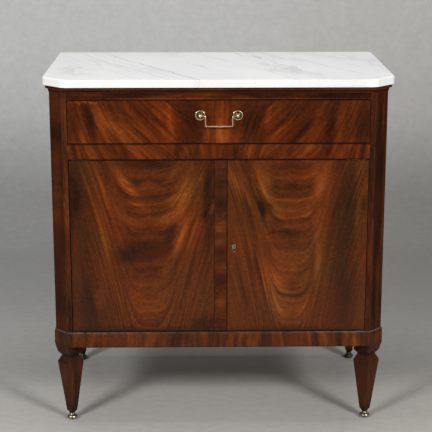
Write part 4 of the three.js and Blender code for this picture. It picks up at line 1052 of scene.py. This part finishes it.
SCREW_RADIUS = 0.0026
SCREW_TOP_RADIUS = 0.00208
SCREW_SIDES = 18
SCREW_SLOT = 0.0006
SCREW_PROUD = 0.0003


def screw_heads(made, places):
    """Low slotted heads, each at a place, facing its own way."""
    for place, facing in places:
        head = bmesh.ops.create_cone(made, cap_ends=True, segments=SCREW_SIDES, radius1=SCREW_RADIUS,
                                     radius2=SCREW_TOP_RADIUS, depth=SCREW_PROUD * 2)["verts"]
        faces = list({face for vert in head for face in vert.link_faces})
        cuts = faces + list({edge for face in faces for edge in face.edges}) + head
        for offset, normal in ((SCREW_SLOT, 1), (-SCREW_SLOT, -1)):
            cuts = bmesh.ops.bisect_plane(made, geom=cuts, plane_co=(offset, 0, 0),
                                          plane_no=(normal, 0, 0))["geom"]
        slot = [face for face in cuts if isinstance(face, bmesh.types.BMFace)
                and abs(face.calc_center_median().x) < SCREW_SLOT / 2 and face.normal.z > 0.9]
        sunk = bmesh.ops.extrude_face_region(made, geom=slot)["geom"]
        floor = [item for item in sunk if isinstance(item, bmesh.types.BMVert)]
        bmesh.ops.delete(made, geom=slot, context="FACES")
        bmesh.ops.translate(made, verts=floor, vec=(0, 0, -SCREW_PROUD))
        whole = [item for item in cuts if isinstance(item, bmesh.types.BMVert)] + floor
        bmesh.ops.transform(made, matrix=turned_to(place, facing), verts=list(set(whole)))


def add_screws(name, places, body, material):
    heads = mesh_object(name, lambda made: screw_heads(made, places), material)
    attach(heads, body)


LOCK_BACK = -0.2335
LOCK_SCREWS_X = (0.0275, 0.0675)
LOCK_SCREWS_Z = (0.4710, 0.5100)
BOLT_PLATE_BACK = -0.2315
BOLT_SCREWS_X = (-0.0045, 0.0125)
BOLT_SCREWS_Z = (0.640, 0.687)
PIVOT_SCREWS_X = (0.336, 0.350)
PIVOT_Y = -0.2495
# The level of each plate's face, and whether it faces up or down
PIN_PLATES = ((0.2595, 1), (0.7270, -1))
EYE_PLATES = ((0.2610, -1), (0.7255, 1))


def door_back(y, across, levels):
    return [((x, y, z), (0, 1, 0)) for x in across for z in levels]


def pivot_plates(sign, plates):
    return [((sign * x, PIVOT_Y, z), (0, 0, up)) for x in PIVOT_SCREWS_X for z, up in plates]


add_screws("lock_screws", door_back(LOCK_BACK, LOCK_SCREWS_X, LOCK_SCREWS_Z), "right_door", lock_brass)
add_screws("bolt_screws", door_back(BOLT_PLATE_BACK, BOLT_SCREWS_X, BOLT_SCREWS_Z), "left_door", bolt_iron)
add_screws("pivot_plate_screws", pivot_plates(-1, PIN_PLATES) + pivot_plates(1, PIN_PLATES), "cabinet",
           lock_brass)
for side, sign in SIDES:
    add_screws("pivot_eye_screws_" + side, pivot_plates(sign, EYE_PLATES), side + "_door", lock_brass)

# The nails of the back: forged, each with a low head of five hammered facets, driven through the back into
# the posts and the boards.
BACK_FACE = 0.2695
NAIL_SIDE = 0.389
NAIL_LOWEST = 0.226
NAIL_HIGHEST = 0.907
NAIL_ROWS = 8
NAIL_COLUMNS = 7
NAIL_FACETS = 5
NAIL_RADIUS = 0.0031
NAIL_TIP_RADIUS = 0.0008
NAIL_HEIGHT = 0.0013
NAIL_PROUD = 0.0003
NAIL_TURN = 1.3


def forged_heads(made):
    places = [(sign * NAIL_SIDE, NAIL_LOWEST + (NAIL_HIGHEST - NAIL_LOWEST) * i / (NAIL_ROWS - 1))
              for sign in (-1, 1) for i in range(NAIL_ROWS)]
    places += [(NAIL_SIDE * (2 * i / (NAIL_COLUMNS + 1) - 1), z) for z in (NAIL_LOWEST, NAIL_HIGHEST)
               for i in range(1, NAIL_COLUMNS + 1)]
    facing_back = Matrix.Rotation(-math.pi / 2, 4, "X")
    for i, (x, z) in enumerate(places):
        place = Matrix.Translation((x, BACK_FACE + NAIL_PROUD, z))
        bmesh.ops.create_cone(made, cap_ends=True, segments=NAIL_FACETS, radius1=NAIL_RADIUS,
                              radius2=NAIL_TIP_RADIUS, depth=NAIL_HEIGHT,
                              matrix=place @ facing_back @ Matrix.Rotation(i * NAIL_TURN, 4, "Z"))


nails = mesh_object("back_nails", forged_heads, bolt_iron)
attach(nails, "cabinet")
